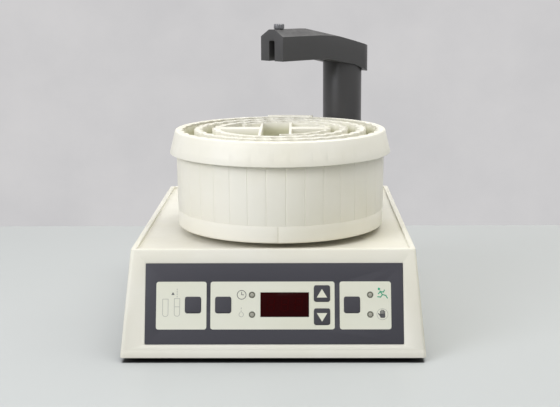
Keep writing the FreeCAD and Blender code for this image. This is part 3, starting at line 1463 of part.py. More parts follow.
def rack_inner_rings():
    """The two full scalloped walls between the rows."""
    middle = turned(ring("middle_slot_outside", "outer_slot_inside", "rack_inside", "rack_top"))
    wells(middle, "outer_row", "outer_wells", OUTER_PHASE)
    wells(middle, "middle_row", "middle_wells", MIDDLE_PHASE)
    node(stand(middle, "rack_x", "rack_y"), "rack_middle_wall")
    low, high = number("rack_inside"), number("rack_top")
    inside, outside = number("inner_slot_outside"), number("middle_slot_inside")
    wall = Part.makeCylinder(outside, high - low, Vector(0, 0, low))
    wall = wall.cut(Part.makeCylinder(inside, high - low, Vector(0, 0, low)))
    count = int(number("middle_wells"))
    wall = wall.cut(well_rods(number("middle_row"), count, number("rack_turn"), 360 / count, low, high))
    wall = wall.cut(inner_well_rods(low, high))
    node(stand(worked_out(wall), "rack_x", "rack_y"), "rack_inner_wall")


def inner_well_rods(low, high):
    pitch = number("inner_pitch")
    phase = number("core_ring_start") + pitch / 2
    return well_rods(number("inner_row"), int(number("inner_wells")), phase, pitch, low, high)


def rack_core_wall():
    """The part ring that closes the inner row."""
    low, high = number("rack_inside"), number("rack_top")
    sweep = number("inner_pitch") * number("inner_wells")
    outside, inside = number("inner_slot_inside"), number("core_ring_inside")
    wall = Part.makeCylinder(outside, high - low, Vector(0, 0, low), Vector(0, 0, 1), sweep)
    wall = wall.cut(Part.makeCylinder(inside, high - low, Vector(0, 0, low)))
    wall.rotate(Vector(), Vector(0, 0, 1), number("core_ring_start"))
    wall = wall.cut(inner_well_rods(low, high))
    node(stand(worked_out(wall), "rack_x", "rack_y"), "rack_core_wall")


def bar(x_from, x_to):
    """A hollow cross bar, open at the bottom."""
    height = "rack_top - rack_inside"
    middle = "((%s) + (%s)) / 2" % (x_from, x_to)
    span = "((%s) - (%s))" % (x_to, x_from)
    outer = block(span, "bar_width", height, middle, "bar_y", "rack_inside")
    inner = block(span + " - 2 * web_thickness", "bar_width - 2 * web_thickness", height + " - web_thickness",
                  middle, "bar_y", "rack_inside")
    return cut(outer, inner)


def rack_core_webs():
    """Two webs that run front to back and two cross bars, trimmed to the rings around them."""
    height = "rack_top - rack_inside"
    wide = rod("inner_slot_outside - web_gap", height, z="rack_inside")
    narrow = rod("core_ring_inside - web_gap", height, z="rack_inside")
    long = "2 * inner_slot_outside"
    web = "web_thickness"
    left = block(web, long, height, "web_left_x", "0", "rack_inside")
    front = block(web, "inner_slot_outside", height, "web_left_x", "-inner_slot_outside / 2", "rack_inside")
    right = block(web, long, height, "web_right_x", "0", "rack_inside")
    left_bar = bar("-inner_slot_outside - 5", "web_left_x + web_thickness / 2")
    right_bar = bar("web_right_x - web_thickness / 2", "core_ring_inside + 5")
    outer = common(joined(front, left_bar), wide)
    inner = common(joined(left, right, right_bar), narrow)
    node(stand(joined(outer, inner), "rack_x", "rack_y"), "rack_core_webs")


def machine_screws(board_screws):
    """All the M3 pan head screws inside the base."""
    screws = list(board_screws)
    length = "flange_height + deck_thickness - 1"
    for x, y in flange_screws():
        screws.append(screw(x, y, "deck_under - flange_height", length, head_up=False))
    for x, y in MOTORS.values():
        for sx in "-+":
            for sy in "-+":
                spot = ("%s %s motor_screw_place" % (x, sx), "%s %s motor_screw_place" % (y, sy))
                screws.append(screw(*spot, "bracket_top", "bracket_thickness + 4"))
    for x, y in bracket_screws():
        screws.append(screw(x, y, "pan_top + bracket_thickness", "bracket_thickness + pan_floor - 0.4"))
    for x, y in BOARD_BOSSES:
        thing = screw(x, y, "0", "board_thickness + board_screw_length - 0.5", head_up=False)
        screws.append(on_face(thing, z="-board_depth - board_thickness"))
    node(together(screws), "machine_screws")


def check():
    """Stops when an object failed, a cut removed nothing or a sub-part is not a valid solid."""
    for thing in doc.Objects:
        if "Invalid" in thing.State or "Error" in thing.State:
            raise ValueError("%s of %s failed: %s" % (thing.Name, thing.Label, thing.State))
        cuts = ("PartDesign::Pocket", "PartDesign::Groove", "PartDesign::SubtractiveLoft")
        if thing.TypeId in cuts and thing.Shape.Volume > thing.BaseFeature.Shape.Volume - 1e-3:
            raise ValueError("%s cuts nothing" % thing.Name)
    for thing in nodes:
        if thing.Shape.isNull() or not thing.Shape.isValid() or not thing.Shape.Solids:
            raise ValueError("%s has no valid solid" % thing.Label)


def build():
    fill_sheets()
    base_housing()
    base_pan()
    rubber_feet()
    pan_screws()
    keypad_overlay()
    display()
    lamps()
    display_board()
    keys()
    board_screws = main_board()
    transformer()
    power_inlet()
    power_switch()
    back_wall_rounds()
    spindle_parts()
    motor("carousel")
    motor("arm")
    node(belt("rack_x", "rack_y", "driven_radius", "motor_spacing"), "carousel_belt")
    node(belt("post_x", "post_y", "arm_pulley_radius", "arm_motor_spacing"), "arm_belt")
    column_parts()
    rack_tray()
    rack_outer_wall()
    rack_rim()
    rack_inner_rings()
    rack_core_wall()
    rack_core_webs()
    arm_shell()
    arm_cover()
    drop_parts()
    machine_screws(board_screws)
    doc.recompute()
    check()
    os.makedirs("parts", exist_ok=True)
    for thing in nodes:
        thing.Shape.exportStep("parts/%s.step" % thing.Label)


build()
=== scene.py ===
"""Looks for the bench fraction collector.

Softened mouldings, printed panel, materials, lights and camera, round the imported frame.
"""

import json
import math

import bmesh
import bpy
from bpy.props import FloatProperty, FloatVectorProperty, IntProperty, PointerProperty
from mathutils import Matrix, Vector


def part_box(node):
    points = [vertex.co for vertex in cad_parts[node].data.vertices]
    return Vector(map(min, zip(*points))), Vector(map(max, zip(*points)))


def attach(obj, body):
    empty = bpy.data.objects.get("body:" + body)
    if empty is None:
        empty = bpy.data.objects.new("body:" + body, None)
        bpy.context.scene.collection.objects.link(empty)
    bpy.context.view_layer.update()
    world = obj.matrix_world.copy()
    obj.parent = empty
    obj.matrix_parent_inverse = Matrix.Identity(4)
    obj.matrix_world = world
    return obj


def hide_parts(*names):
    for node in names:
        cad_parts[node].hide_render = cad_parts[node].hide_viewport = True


bl_info = {
    "name": "Fraction Collector",
    "version": (1, 0, 0),
    "blender": (4, 5, 0),
    "location": "3D View > Sidebar > Collector",
    "description": "Builds the visible pieces of a bench fraction collector round its packed frame",
    "category": "Object",
}

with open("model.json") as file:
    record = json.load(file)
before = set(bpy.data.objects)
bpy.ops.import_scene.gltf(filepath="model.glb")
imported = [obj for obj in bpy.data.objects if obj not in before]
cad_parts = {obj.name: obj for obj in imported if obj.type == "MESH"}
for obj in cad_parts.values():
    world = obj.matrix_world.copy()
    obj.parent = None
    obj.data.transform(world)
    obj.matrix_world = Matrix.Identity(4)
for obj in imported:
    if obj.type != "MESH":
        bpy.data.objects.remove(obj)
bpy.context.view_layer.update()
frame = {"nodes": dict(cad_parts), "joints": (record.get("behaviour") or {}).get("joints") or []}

MM = 0.001
KEYS = ("left_key", "middle_key", "right_key", "up_key", "down_key")
SHEET_THICK = 1.1 * MM


def mm(*values):
    """Millimetres in metres."""
    return tuple(value * MM for value in values)


def joint(name):
    """The frame's record of a joint."""
    return next(j for j in frame["joints"] if j["name"] == name)


def panel_place():
    """The matrix from the panel's own axes to the frame's.

    On the panel x runs right, y up the face and z outwards, from the middle of the sheet's face.
    """
    inward = Vector(joint("left_key_press")["axis"]).normalized()
    right = Vector((1, 0, 0))
    outward = -inward
    up = outward.cross(right)
    low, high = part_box("keypad_overlay")
    place = Matrix((right, up, outward)).transposed().to_4x4()
    place.translation = (low + high) / 2 + outward * (SHEET_THICK / 2)
    return place


RACK_AXIS = (*joint("carousel_spin")["pos_m"][:2], 0.0)
RACK_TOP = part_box("rack_rim")[1].z
PANEL = panel_place()


# Values a user would change


class CollectorColours(bpy.types.PropertyGroup):
    """Base colours of the mouldings, the panel and the arm."""

    housing: FloatVectorProperty(
        name="Housing", description="Ivory of the housing and pan", subtype="COLOR",
        size=3, min=0, max=1, default=(0.78, 0.76, 0.68))
    rack: FloatVectorProperty(
        name="Rack", description="Ivory of the tube rack", subtype="COLOR",
        size=3, min=0, max=1, default=(0.87, 0.845, 0.755))
    sheet: FloatVectorProperty(
        name="Panel sheet", description="Slate of the panel sheet and the keys", subtype="COLOR",
        size=3, min=0, max=1, default=(0.055, 0.054, 0.064))
    field: FloatVectorProperty(
        name="Printed fields", description="Cream of the printed fields and arrows",
        subtype="COLOR", size=3, min=0, max=1, default=(0.70, 0.70, 0.60))
    arm: FloatVectorProperty(
        name="Arm", description="Charcoal of the swing arm and the post", subtype="COLOR",
        size=3, min=0, max=1, default=(0.050, 0.049, 0.050))
    window: FloatVectorProperty(
        name="Display window", description="Tint of the display window", subtype="COLOR",
        size=3, min=0, max=1, default=(0.021, 0.0007, 0.001))
    lamp: FloatVectorProperty(
        name="Lamps", description="Unlit lamps", subtype="COLOR",
        size=3, min=0, max=1, default=(0.145, 0.148, 0.108))
    start: FloatVectorProperty(
        name="Run mark", description="Green of the run pictogram", subtype="COLOR",
        size=3, min=0, max=1, default=(0.03, 0.36, 0.20))


class CollectorSizes(bpy.types.PropertyGroup):
    """Sizes of the finish: softened edges, printing and grain."""

    housing_edge: FloatProperty(
        name="Housing edges", description="Rounding of the housing's sharp edges",
        subtype="DISTANCE", unit="LENGTH", default=0.35 * MM, min=0)
    rack_edge: FloatProperty(
        name="Rack edges", description="Rounding of the rack's sharp edges",
        subtype="DISTANCE", unit="LENGTH", default=0.3 * MM, min=0)
    arm_edge: FloatProperty(
        name="Arm edges", description="Rounding of the arm's sharp edges",
        subtype="DISTANCE", unit="LENGTH", default=0.6 * MM, min=0)
    key_edge: FloatProperty(
        name="Key edges", description="Rounding of the keys' top edges",
        subtype="DISTANCE", unit="LENGTH", default=0.35 * MM, min=0)
    ink: FloatProperty(
        name="Ink", description="Thickness of the printed layer",
        subtype="DISTANCE", unit="LENGTH", default=0.05 * MM, min=0)
    field_corner: FloatProperty(
        name="Field corners", description="Corner radius of the printed fields",
        subtype="DISTANCE", unit="LENGTH", default=2.0 * MM, min=0)
    stroke: FloatProperty(
        name="Pictogram line", description="Line width of the pictograms",
        subtype="DISTANCE", unit="LENGTH", default=0.42 * MM, min=0)
    grain: FloatProperty(
        name="Moulded grain", description="Grain features per metre on the mouldings",
        default=1300, min=1)
    lamp_segments: IntProperty(
        name="Lamp segments", description="Segments round a lamp", default=32, min=8)


def colours():
    """The scene's colours."""
    return bpy.context.scene.collector_colours


def sizes():
    """The scene's sizes of the finish."""
    return bpy.context.scene.collector_sizes


# Shader groups

FLOAT, VECTOR, COLOUR = "NodeSocketFloat", "NodeSocketVector", "NodeSocketColor"
WHITE = (1, 1, 1, 1)

# Depths under the rack's top between which the painted shade in the wells grows
WELL_FADE = mm(0.3, 11.0)


def wire(tree, node, wires):
    """Links sockets to a node's inputs, or sets the inputs to constants."""
    for key, value in wires.items():
        if isinstance(value, bpy.types.NodeSocket):
            tree.links.new(value, node.inputs[key])
        else:
            node.inputs[key].default_value = value


def add(tree, kind, wires, **settings):
    """A node with its settings and its inputs."""
    node = tree.nodes.new(kind)
    for key, value in settings.items():
        setattr(node, key, value)
    wire(tree, node, wires)
    return node


def calc(tree, operation, *values, clamp=False):
    """The result of a calculation with numbers."""
    wires = dict(enumerate(values))
    return add(tree, "ShaderNodeMath", wires, operation=operation, use_clamp=clamp).outputs[0]


def vector_calc(tree, operation, *values, result="Vector"):
    """The result of a calculation with vectors."""
    wires = dict(enumerate(values))
    return add(tree, "ShaderNodeVectorMath", wires, operation=operation).outputs[result]


def product(tree, first, *others):
    """The product of several values."""
    for other in others:
        first = calc(tree, "MULTIPLY", first, other)
    return first


def noise(tree, place, scale, detail, roughness=0.5):
    """A cloud of values from 0 to 1."""
    wires = {"Vector": place, "Scale": scale, "Detail": detail, "Roughness": roughness}
    return add(tree, "ShaderNodeTexNoise", wires, noise_dimensions="3D").outputs["Fac"]


def ramp(tree, value, start, end, low=0.0, high=1.0, smooth=False):
    """A value carried from one range to another."""
    wires = {"Value": value, "From Min": start, "From Max": end, "To Min": low, "To Max": high}
    kind = "SMOOTHSTEP" if smooth else "LINEAR"
    return add(tree, "ShaderNodeMapRange", wires, interpolation_type=kind).outputs[0]


def blend(tree, factor, first, second):
    """A colour between two others."""
    wires = {"Factor": factor, "A": first, "B": second}
    return add(tree, "ShaderNodeMix", wires, data_type="RGBA").outputs[2]


def split(tree, vector):
    """The X, Y and Z of a vector."""
    return add(tree, "ShaderNodeSeparateXYZ", {0: vector}).outputs


def normal(tree):
    """The direction that a face looks in."""
    return add(tree, "ShaderNodeNewGeometry", {}).outputs["Normal"]


def new_group(name, inputs, outputs):
    """An empty shader node group with named sockets, its input sockets and its output node."""
    tree = bpy.data.node_groups.new(name, "ShaderNodeTree")
    for label, kind, value in inputs:
        item = tree.interface.new_socket(label, in_out="INPUT", socket_type=kind)
        if value is not None:
            item.default_value = value
    for label, kind in outputs:
        tree.interface.new_socket(label, in_out="OUTPUT", socket_type=kind)
    return tree, tree.nodes.new("NodeGroupInput").outputs, tree.nodes.new("NodeGroupOutput")


def colour_group(name, *inputs):
    """A group that changes a colour: its place and its colour come first among the inputs."""
    first = (("Vector", VECTOR, None), ("Colour", COLOUR, WHITE))
    return new_group(name, (*first, *inputs), (("Colour", COLOUR),))


def grain_group():
    """Fine spark-eroded grain of a moulding, with a slow waviness under it."""
    tree, given, out = new_group(
        "Moulded grain",
        (("Vector", VECTOR, None), ("Scale", FLOAT, 1300.0), ("Waviness", FLOAT, 0.3)),
        (("Height", FLOAT), ("Roughness shift", FLOAT)))
    fine = noise(tree, given["Vector"], given["Scale"], 3.0, 0.6)
    waves = product(tree, noise(tree, given["Vector"], 22.0, 1.0), given["Waviness"])
    wire(tree, out, {
        "Height": calc(tree, "ADD", fine, waves),
        "Roughness shift": ramp(tree, fine, 0.3, 0.7, -0.06, 0.06)})
    return tree


def tint_group():
    """Slow change of colour over a moulding, from one tone to another."""
    tree, given, out = colour_group(
        "Aged tint", ("Aged", COLOUR, WHITE), ("Amount", FLOAT, 0.5), ("Scale", FLOAT, 9.0))
    cloud = noise(tree, given["Vector"], given["Scale"], 4.0, 0.55)
    mask = product(tree, ramp(tree, cloud, 0.35, 0.7, smooth=True), given["Amount"])
    wire(tree, out, {"Colour": blend(tree, mask, given["Colour"], given["Aged"])})
    return tree


def dust_group():
    """Thin dust on faces that look up, broken up by noise; on the dark arm it is partly a painted
    sheen.
    """
    tree, given, out = colour_group(
        "Settled dust", ("Dust", COLOUR, (0.5, 0.48, 0.44, 1)), ("Amount", FLOAT, 0.2),
        ("Scale", FLOAT, 60.0))
    upward = ramp(tree, split(tree, normal(tree))["Z"], 0.35, 0.95, smooth=True)
    breakup = noise(tree, given["Vector"], given["Scale"], 6.0, 0.7)
    mask = product(tree, upward, ramp(tree, breakup, 0.38, 0.72), given["Amount"])
    wire(tree, out, {"Colour": blend(tree, mask, given["Colour"], given["Dust"])})
    return tree


def underside_shade_group():
    """Painted shade: a darker colour on faces that look down, broken up by noise."""
    tree, given, out = colour_group(
        "Painted underside shade", ("Shade colour", COLOUR, (0.05, 0.048, 0.044, 1)), ("Amount", FLOAT, 0.8))
    downward = ramp(tree, split(tree, normal(tree))["Z"], -0.35, -0.9, smooth=True)
    patchiness = noise(tree, given["Vector"], 30.0, 4.0, 0.6)
    mask = product(tree, downward, ramp(tree, patchiness, 0.3, 0.7, 0.75, 1.0), given["Amount"])
    wire(tree, out, {"Colour": blend(tree, mask, given["Colour"], given["Shade colour"])})
    return tree


def well_shade_group():
    """Painted shade down inside the rack, growing with depth.

    It covers every face, or only those that look at the rack's axis.
    """
    tree, given, out = colour_group(
        "Painted well shade", ("Deep", COLOUR, (0.6, 0.6, 0.45, 1)), ("Axis", VECTOR, (0, 0, 0)),
        ("Top", FLOAT, 0.18), ("Everywhere", FLOAT, 0.0))
    below = calc(tree, "SUBTRACT", given["Top"], split(tree, given["Vector"])["Z"])
    depth = ramp(tree, below, *WELL_FADE, smooth=True)
    radial = vector_calc(tree, "SUBTRACT", given["Vector"], given["Axis"])
    level = vector_calc(tree, "MULTIPLY", radial, (1, 1, 0))
    outward = vector_calc(tree, "NORMALIZE", level)
    turn = vector_calc(tree, "DOT_PRODUCT", outward, normal(tree), result="Value")
    inward = ramp(tree, turn, -0.1, -0.4)
    mask = product(tree, depth, calc(tree, "MAXIMUM", inward, given["Everywhere"]))
    wire(tree, out, {"Colour": blend(tree, mask, given["Colour"], given["Deep"])})
    return tree


def scuff_group():
    """Short rubbed marks that change the gloss."""
    tree, given, out = new_group(
        "Scuffs",
        (("Vector", VECTOR, None), ("Roughness", FLOAT, 0.5), ("Amount", FLOAT, 0.1),
         ("Scale", FLOAT, 40.0)),
        (("Roughness", FLOAT),))
    stretch = add(tree, "ShaderNodeMapping", {
        "Vector": given["Vector"], "Scale": (1.0, 1.0, 5.0), "Rotation": (0.3, 0.5, 0.2)})
    marks = noise(tree, stretch.outputs[0], given["Scale"], 5.0, 0.75)
    spread = ramp(tree, marks, 0.35, 0.65, -1.0, 1.0)
    wire(tree, out, {"Roughness": calc(
        tree, "MULTIPLY_ADD", spread, given["Amount"], given["Roughness"], clamp=True)})
    return tree


def lines_group():
    """Fine parallel lines along one axis, for brushed, turned, wound or stacked parts."""
    tree, given, out = new_group(
        "Fine lines",
        (("Vector", VECTOR, None), ("Stretch", VECTOR, (1, 1, 1)), ("Scale", FLOAT, 300.0)),
        (("Height", FLOAT),))
    stretch = add(tree, "ShaderNodeMapping", {
        "Vector": given["Vector"], "Scale": given["Stretch"]})
    wire(tree, out, {"Height": noise(tree, stretch.outputs[0], given["Scale"], 2.0)})
    return tree


GROUP_MAKERS = {
    "grain": grain_group, "tint": tint_group, "dust": dust_group, "underside_shade": underside_shade_group,
    "well_shade": well_shade_group, "scuffs": scuff_group, "lines": lines_group,
}
GROUPS = {}


def group_node(tree, name, **inputs):
    """Places a shared shader group in a material."""
    if name not in GROUPS:
        GROUPS[name] = GROUP_MAKERS[name]()
    node = tree.nodes.new("ShaderNodeGroup")
    node.node_tree = GROUPS[name]
    wire(tree, node, {key.capitalize(): value for key, value in inputs.items()})
    return node


# Materials

# Factor and tone of aged plastic, and of the painted shade down in the wells
AGED = 0.9, (1.0, 0.98, 0.88)
WELL_SHADE = 0.66, (1.0, 1.01, 0.8)
TARNISHED = 0.75

GRAIN_DEPTH = 0.4 * MM
LINE_DEPTH = 0.2 * MM


def bare_material(name):
    """A material with its shader, its tree and the object coordinates."""
    material = bpy.data.materials.new(name)
    material.use_nodes = True
    tree = material.node_tree
    shader = tree.nodes["Principled BSDF"]
    place = tree.nodes.new("ShaderNodeTexCoord").outputs["Object"]
    return material, tree, shader, place


def rgba(colour):
    """A colour with its alpha."""
    return (*colour, 1.0)


def darker(colour, by, warm=(1, 1, 1)):
    """A colour times a factor, and times a tone."""
    return tuple(min(1.0, part * by * tone) for part, tone in zip(colour, warm))


def bumped(tree, strength, distance, height):
    """The normal of a face with a fine relief."""
    wires = {"Strength": strength, "Distance": distance, "Height": height}
    return add(tree, "ShaderNodeBump", wires).outputs["Normal"]


def moulded(name, colour, roughness, aged=None, age=0.5, dust=0.15,
            dust_colour=(0.55, 0.53, 0.48), grain=1.0, bump=0.05, scuff=0.08, specular=0.4,
            underside_shade=0.0, well_shading=None):
    """Moulded plastic with grain, slow tint, dust that is partly painted sheen, painted shade
    underneath and down in the wells, and scuffs.
    """
    material, tree, shader, place = bare_material(name)
    aged = aged or darker(colour, *AGED)
    tone = group_node(
        tree, "tint", vector=place, colour=rgba(colour), aged=rgba(aged), amount=age)
    tone = group_node(
        tree, "dust", vector=place, colour=tone.outputs["Colour"], dust=rgba(dust_colour),
        amount=dust)
    # Painted shade down in the wells, darker with depth
    if well_shading is not None:
        tone = group_node(
            tree, "well_shade", vector=place, colour=tone.outputs["Colour"],
            deep=rgba(darker(colour, *WELL_SHADE)), axis=RACK_AXIS, top=RACK_TOP, everywhere=well_shading)
    # Painted shade on the faces that look down
    if underside_shade:
        tone = group_node(
            tree, "underside_shade", vector=place, colour=tone.outputs["Colour"], amount=underside_shade)
    relief = group_node(tree, "grain", vector=place, scale=sizes().grain * grain)
    rubbed = group_node(tree, "scuffs", vector=place, roughness=roughness, amount=scuff)
    wire(tree, shader, {
        "Base Color": tone.outputs["Colour"],
        "Roughness": calc(tree, "ADD", rubbed.outputs["Roughness"],
                          relief.outputs["Roughness shift"], clamp=True),
        "Normal": bumped(tree, bump, GRAIN_DEPTH, relief.outputs["Height"]),
        "Specular IOR Level": specular})
    return material


def metal(name, colour, roughness, stretch, scale, bump=0.06, tarnish=0.15):
    """Bare metal with fine machining or brushing lines and a little tarnish."""
    material, tree, shader, place = bare_material(name)
    tint = group_node(tree, "tint", vector=place, colour=rgba(colour),
                      aged=rgba(darker(colour, TARNISHED)), amount=tarnish, scale=40.0)
    lines = group_node(tree, "lines", vector=place, stretch=stretch, scale=scale)
    rubbed = group_node(
        tree, "scuffs", vector=place, roughness=roughness, amount=0.08, scale=120.0)
    wire(tree, shader, {
        "Base Color": tint.outputs["Colour"],
        "Roughness": rubbed.outputs["Roughness"],
        "Normal": bumped(tree, bump, LINE_DEPTH, lines.outputs["Height"]),
        "Metallic": 1.0})
    return material


def glossy(name, colour, roughness, coat, specular=0.5):
    """Smooth clear-faced plastic with faint smears."""
    material, tree, shader, place = bare_material(name)
    rubbed = group_node(
        tree, "scuffs", vector=place, roughness=roughness, amount=0.04, scale=70.0)
    wire(tree, shader, {
        "Base Color": rgba(colour),
        "Roughness": rubbed.outputs["Roughness"],
        "Specular IOR Level": specular,
        "Coat Weight": coat,
        "Coat Roughness": 0.08})
    return material


def board_finish():
    """Solder mask with rows of copper tracks showing through."""
    material, tree, shader, place = bare_material("solder_mask")
    tracks = add(tree, "ShaderNodeTexBrick", {
        "Vector": place, "Scale": 160.0, "Mortar Size": 0.035, "Color1": (0.02, 0.13, 0.05, 1),
        "Color2": (0.025, 0.16, 0.06, 1), "Mortar": (0.10, 0.24, 0.09, 1)}, offset=0.5)
    rubbed = group_node(tree, "scuffs", vector=place, roughness=0.35, amount=0.06)
    wire(tree, shader, {
        "Base Color": tracks.outputs["Color"], "Roughness": rubbed.outputs["Roughness"]})
    return material


def charcoal(by):
    """The arm's colour times a factor."""
    return darker(colours().arm, by)


FINISH_MAKERS = {
    "housing": lambda: moulded(
        "ivory_housing", colours().housing, 0.48, age=0.45, dust=0.10, bump=0.09),
    # The pan's downward faces get painted shade, nearly black, for the dark gap under the base
    "pan": lambda: moulded(
        "ivory_pan", darker(colours().housing, 0.9), 0.5, age=0.55, dust=0.05, bump=0.09,
        underside_shade=0.95),
    # Both rack finishes get painted shade down in the wells: the outer pieces on faces that look at
    # the axis, the inner pieces on every face
    "rack": lambda: moulded(
        "ivory_rack", colours().rack, 0.42, dust=0.06, grain=0.7, bump=0.04, well_shading=0.0),
    "rack_inner": lambda: moulded(
        "ivory_rack_inner", colours().rack, 0.42, dust=0.06, grain=0.7, bump=0.04, well_shading=1.0),
    "foot": lambda: moulded(
        "foot_rubber", (0.025, 0.025, 0.025), 0.75, dust=0.3, bump=0.1, specular=0.25),
    "sheet": lambda: moulded(
        "slate_film", colours().sheet, 0.5, aged=darker(colours().sheet, 1.2), age=0.4,
        dust=0.0, grain=1.6, bump=0.03, scuff=0.1, specular=0.22),
    "field": lambda: moulded(
        "cream_ink", colours().field, 0.45, age=0.35, dust=0.0, grain=1.6, bump=0.03),
    "key": lambda: moulded(
        "key_slate", darker(colours().sheet, 1.05), 0.5, age=0.3, dust=0.0, grain=1.2,
        specular=0.22),
    "dark_ink": lambda: moulded("dark_ink", (0.085, 0.085, 0.09), 0.5, age=0.2, dust=0.0, bump=0.0),
    "soft_ink": lambda: moulded("grey_ink", (0.38, 0.38, 0.34), 0.5, age=0.2, dust=0.0, bump=0.0),
    "green_ink": lambda: moulded("green_ink", colours().start, 0.5, age=0.2, dust=0.0, bump=0.0),
    # The arm's pale dust on its upward faces is partly a painted sheen where the top light falls
    "arm": lambda: moulded(
        "charcoal_arm", colours().arm, 0.42, aged=charcoal(1.3), age=0.35, dust=0.25,
        dust_colour=(0.34, 0.33, 0.32), grain=1.4, bump=0.12, specular=0.62),
    "column": lambda: moulded(
        "charcoal_post", charcoal(0.85), 0.34, aged=charcoal(1.2), age=0.25, dust=0.0,
        grain=1.6, bump=0.04, scuff=0.02, specular=0.55),
    "black": lambda: moulded("black_plastic", (0.018, 0.018, 0.019), 0.42, dust=0.12),
    "rocker": lambda: moulded("rocker_plastic", (0.015, 0.015, 0.016), 0.3, dust=0.0, bump=0.01),
    "window": lambda: glossy("window_tint", colours().window, 0.1, 0.05, specular=0.03),
    "segment": lambda: glossy("unlit_segments", (0.028, 0.0012, 0.0015), 0.2, 0.0, specular=0.03),
    "lamp": lambda: glossy("lamp_lens", colours().lamp, 0.22, 0.5),
    "lamp_core": lambda: glossy("lamp_core", (0.34, 0.33, 0.27), 0.3, 0.3),
    "steel": lambda: metal("bright_steel", (0.60, 0.60, 0.61), 0.28, (1, 1, 6), 700.0),
    "zinc": lambda: metal("zinc_sheet", (0.58, 0.59, 0.60), 0.4, (6, 1, 1), 500.0, tarnish=0.35),
    "aluminium": lambda: metal("turned_aluminium", (0.72, 0.72, 0.73), 0.3, (1, 1, 30), 260.0, 0.1),
    "gunmetal": lambda: metal("grey_metal", (0.26, 0.26, 0.27), 0.42, (1, 1, 30), 260.0, 0.05),
    "nickel": lambda: metal("nickel_plate", (0.62, 0.60, 0.56), 0.18, (1, 1, 1), 300.0, 0.02),
    "lacquer": lambda: moulded(
        "black_lacquer", (0.03, 0.03, 0.032), 0.35, dust=0.1, grain=0.6, bump=0.04),
    "laminations": lambda: metal(
        "laminations", (0.20, 0.19, 0.19), 0.5, (1, 60, 1), 40.0, 0.4, 0.5),
    "winding": lambda: metal(
        "enamelled_wire", (0.62, 0.26, 0.10), 0.35, (1, 1, 40), 60.0, 0.5, 0.3),
    "hub": lambda: moulded("hub_plastic", (0.58, 0.56, 0.50), 0.45, dust=0.1, bump=0.03),
    "belt": lambda: moulded("belt_rubber", (0.02, 0.02, 0.02), 0.7, dust=0.1, grain=1.5, bump=0.1),
    "parts": lambda: moulded("component_cases", (0.035, 0.035, 0.045), 0.45, bump=0.04),
    "board": board_finish,
}
FINISHES = {}


def finish(name):
    """The finish of that name, made when it is first asked for."""
    if name not in FINISHES:
        FINISHES[name] = FINISH_MAKERS[name]()
    return FINISHES[name]


# Pieces

SHARP_ANGLE = math.radians(32.0)
FLAT_ANGLE = math.radians(0.4)
MERGE_DISTANCE = 0.002 * MM
SEAM_DISTANCE = 0.0001 * MM

# Rounding of small pieces
FINE_EDGE = 0.1 * MM
PANE_EDGE = 0.15 * MM
FITTING_EDGE = 0.3 * MM


def new_piece(name, shape, body, look, stands_for=()):
    """Makes the object from a finished shape, parents it to its body's empty and hides the nodes it
    stands for.
    """
    mesh = bpy.data.meshes.new(name)
    shape.to_mesh(mesh)
    shape.free()
    mesh.materials.append(finish(look))
    mesh.shade_smooth()
    mesh.set_sharp_from_angle(angle=SHARP_ANGLE)
    piece = bpy.data.objects.new(name, mesh)
    bpy.context.scene.collection.objects.link(piece)
    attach(piece, body)
    if stands_for:
        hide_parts(*stands_for)
    return piece


def merged_copy(node):
    """A shape from a copy of a CAD node's triangles, merged, with its flat faces made whole."""
    shape = bmesh.new()
    shape.from_mesh(frame["nodes"][node].data)
    bmesh.ops.remove_doubles(shape, verts=shape.verts, dist=MERGE_DISTANCE)
    bmesh.ops.dissolve_limit(
        shape, angle_limit=FLAT_ANGLE, use_dissolve_boundaries=False, verts=shape.verts,
        edges=shape.edges, delimit={"NORMAL"})
    return shape


def soften(shape, width, angle=35.0, segments=2):
    """Rounds the edges of a shape whose faces meet at more than the angle."""
    limit = math.radians(angle)
    edges = [e for e in shape.edges if len(e.link_faces) == 2 and e.calc_face_angle(0) > limit]
    bmesh.ops.bevel(
        shape, geom=edges, offset=width, offset_type="OFFSET", affect="EDGES",
        segments=segments, profile=0.5, material=-1, clamp_overlap=True, miter_outer="ARC")
    return shape


def softened(node, name, body, look, width, **options):
    """Stands for a CAD node with a copy whose sharp edges are rounded."""
    shape = soften(merged_copy(node), width, **options)
    return new_piece(name, shape, body, look, (node,))


def dress(look, *nodes):
    """Gives CAD nodes a finish."""
    for node in nodes:
        for place in frame["nodes"][node].material_slots:
            place.material = finish(look)


def clear_faces(shape):
    """Takes the faces away and leaves their outlines."""
    bmesh.ops.delete(shape, geom=list(shape.faces), context="FACES_ONLY")
    return shape


def flat_box(shape, x, y, wide, tall, corner=0.0, segments=4, bottom_only=False):
    """The outline of a rectangle, with rounded corners, as loose edges."""
    place = Matrix.Translation((x, y, 0)) @ Matrix.Diagonal((wide, tall, 1, 1))
    made = bmesh.ops.create_grid(shape, x_segments=1, y_segments=1, size=0.5, matrix=place)
    if corner:
        picked = [v for v in made["verts"] if not bottom_only or v.co.y < y]
        bmesh.ops.bevel(
            shape, geom=picked, offset=corner, offset_type="OFFSET", affect="VERTICES",
            segments=segments, profile=0.5, material=-1)
    return clear_faces(shape)


def flat_ring(shape, x, y, radius, segments):
    """The outline of a circle."""
    bmesh.ops.create_circle(shape, cap_ends=False, segments=segments, radius=radius,
                            matrix=Matrix.Translation((x, y, 0)))
    return shape


def bar(start, end, wide):
    """The outline of a straight stroke between two points."""
    start, end = Vector(start), Vector(end)
    along = end - start
    middle = (start + end) / 2
    turn = Matrix.Rotation(math.atan2(along.y, along.x), 4, "Z")
    stretch = Matrix.Diagonal((along.length + wide, wide, 1, 1))
    place = Matrix.Translation((middle.x, middle.y, 0)) @ turn @ stretch
    shape = bmesh.new()
    bmesh.ops.create_grid(shape, x_segments=1, y_segments=1, size=0.5, matrix=place)
    return clear_faces(shape)


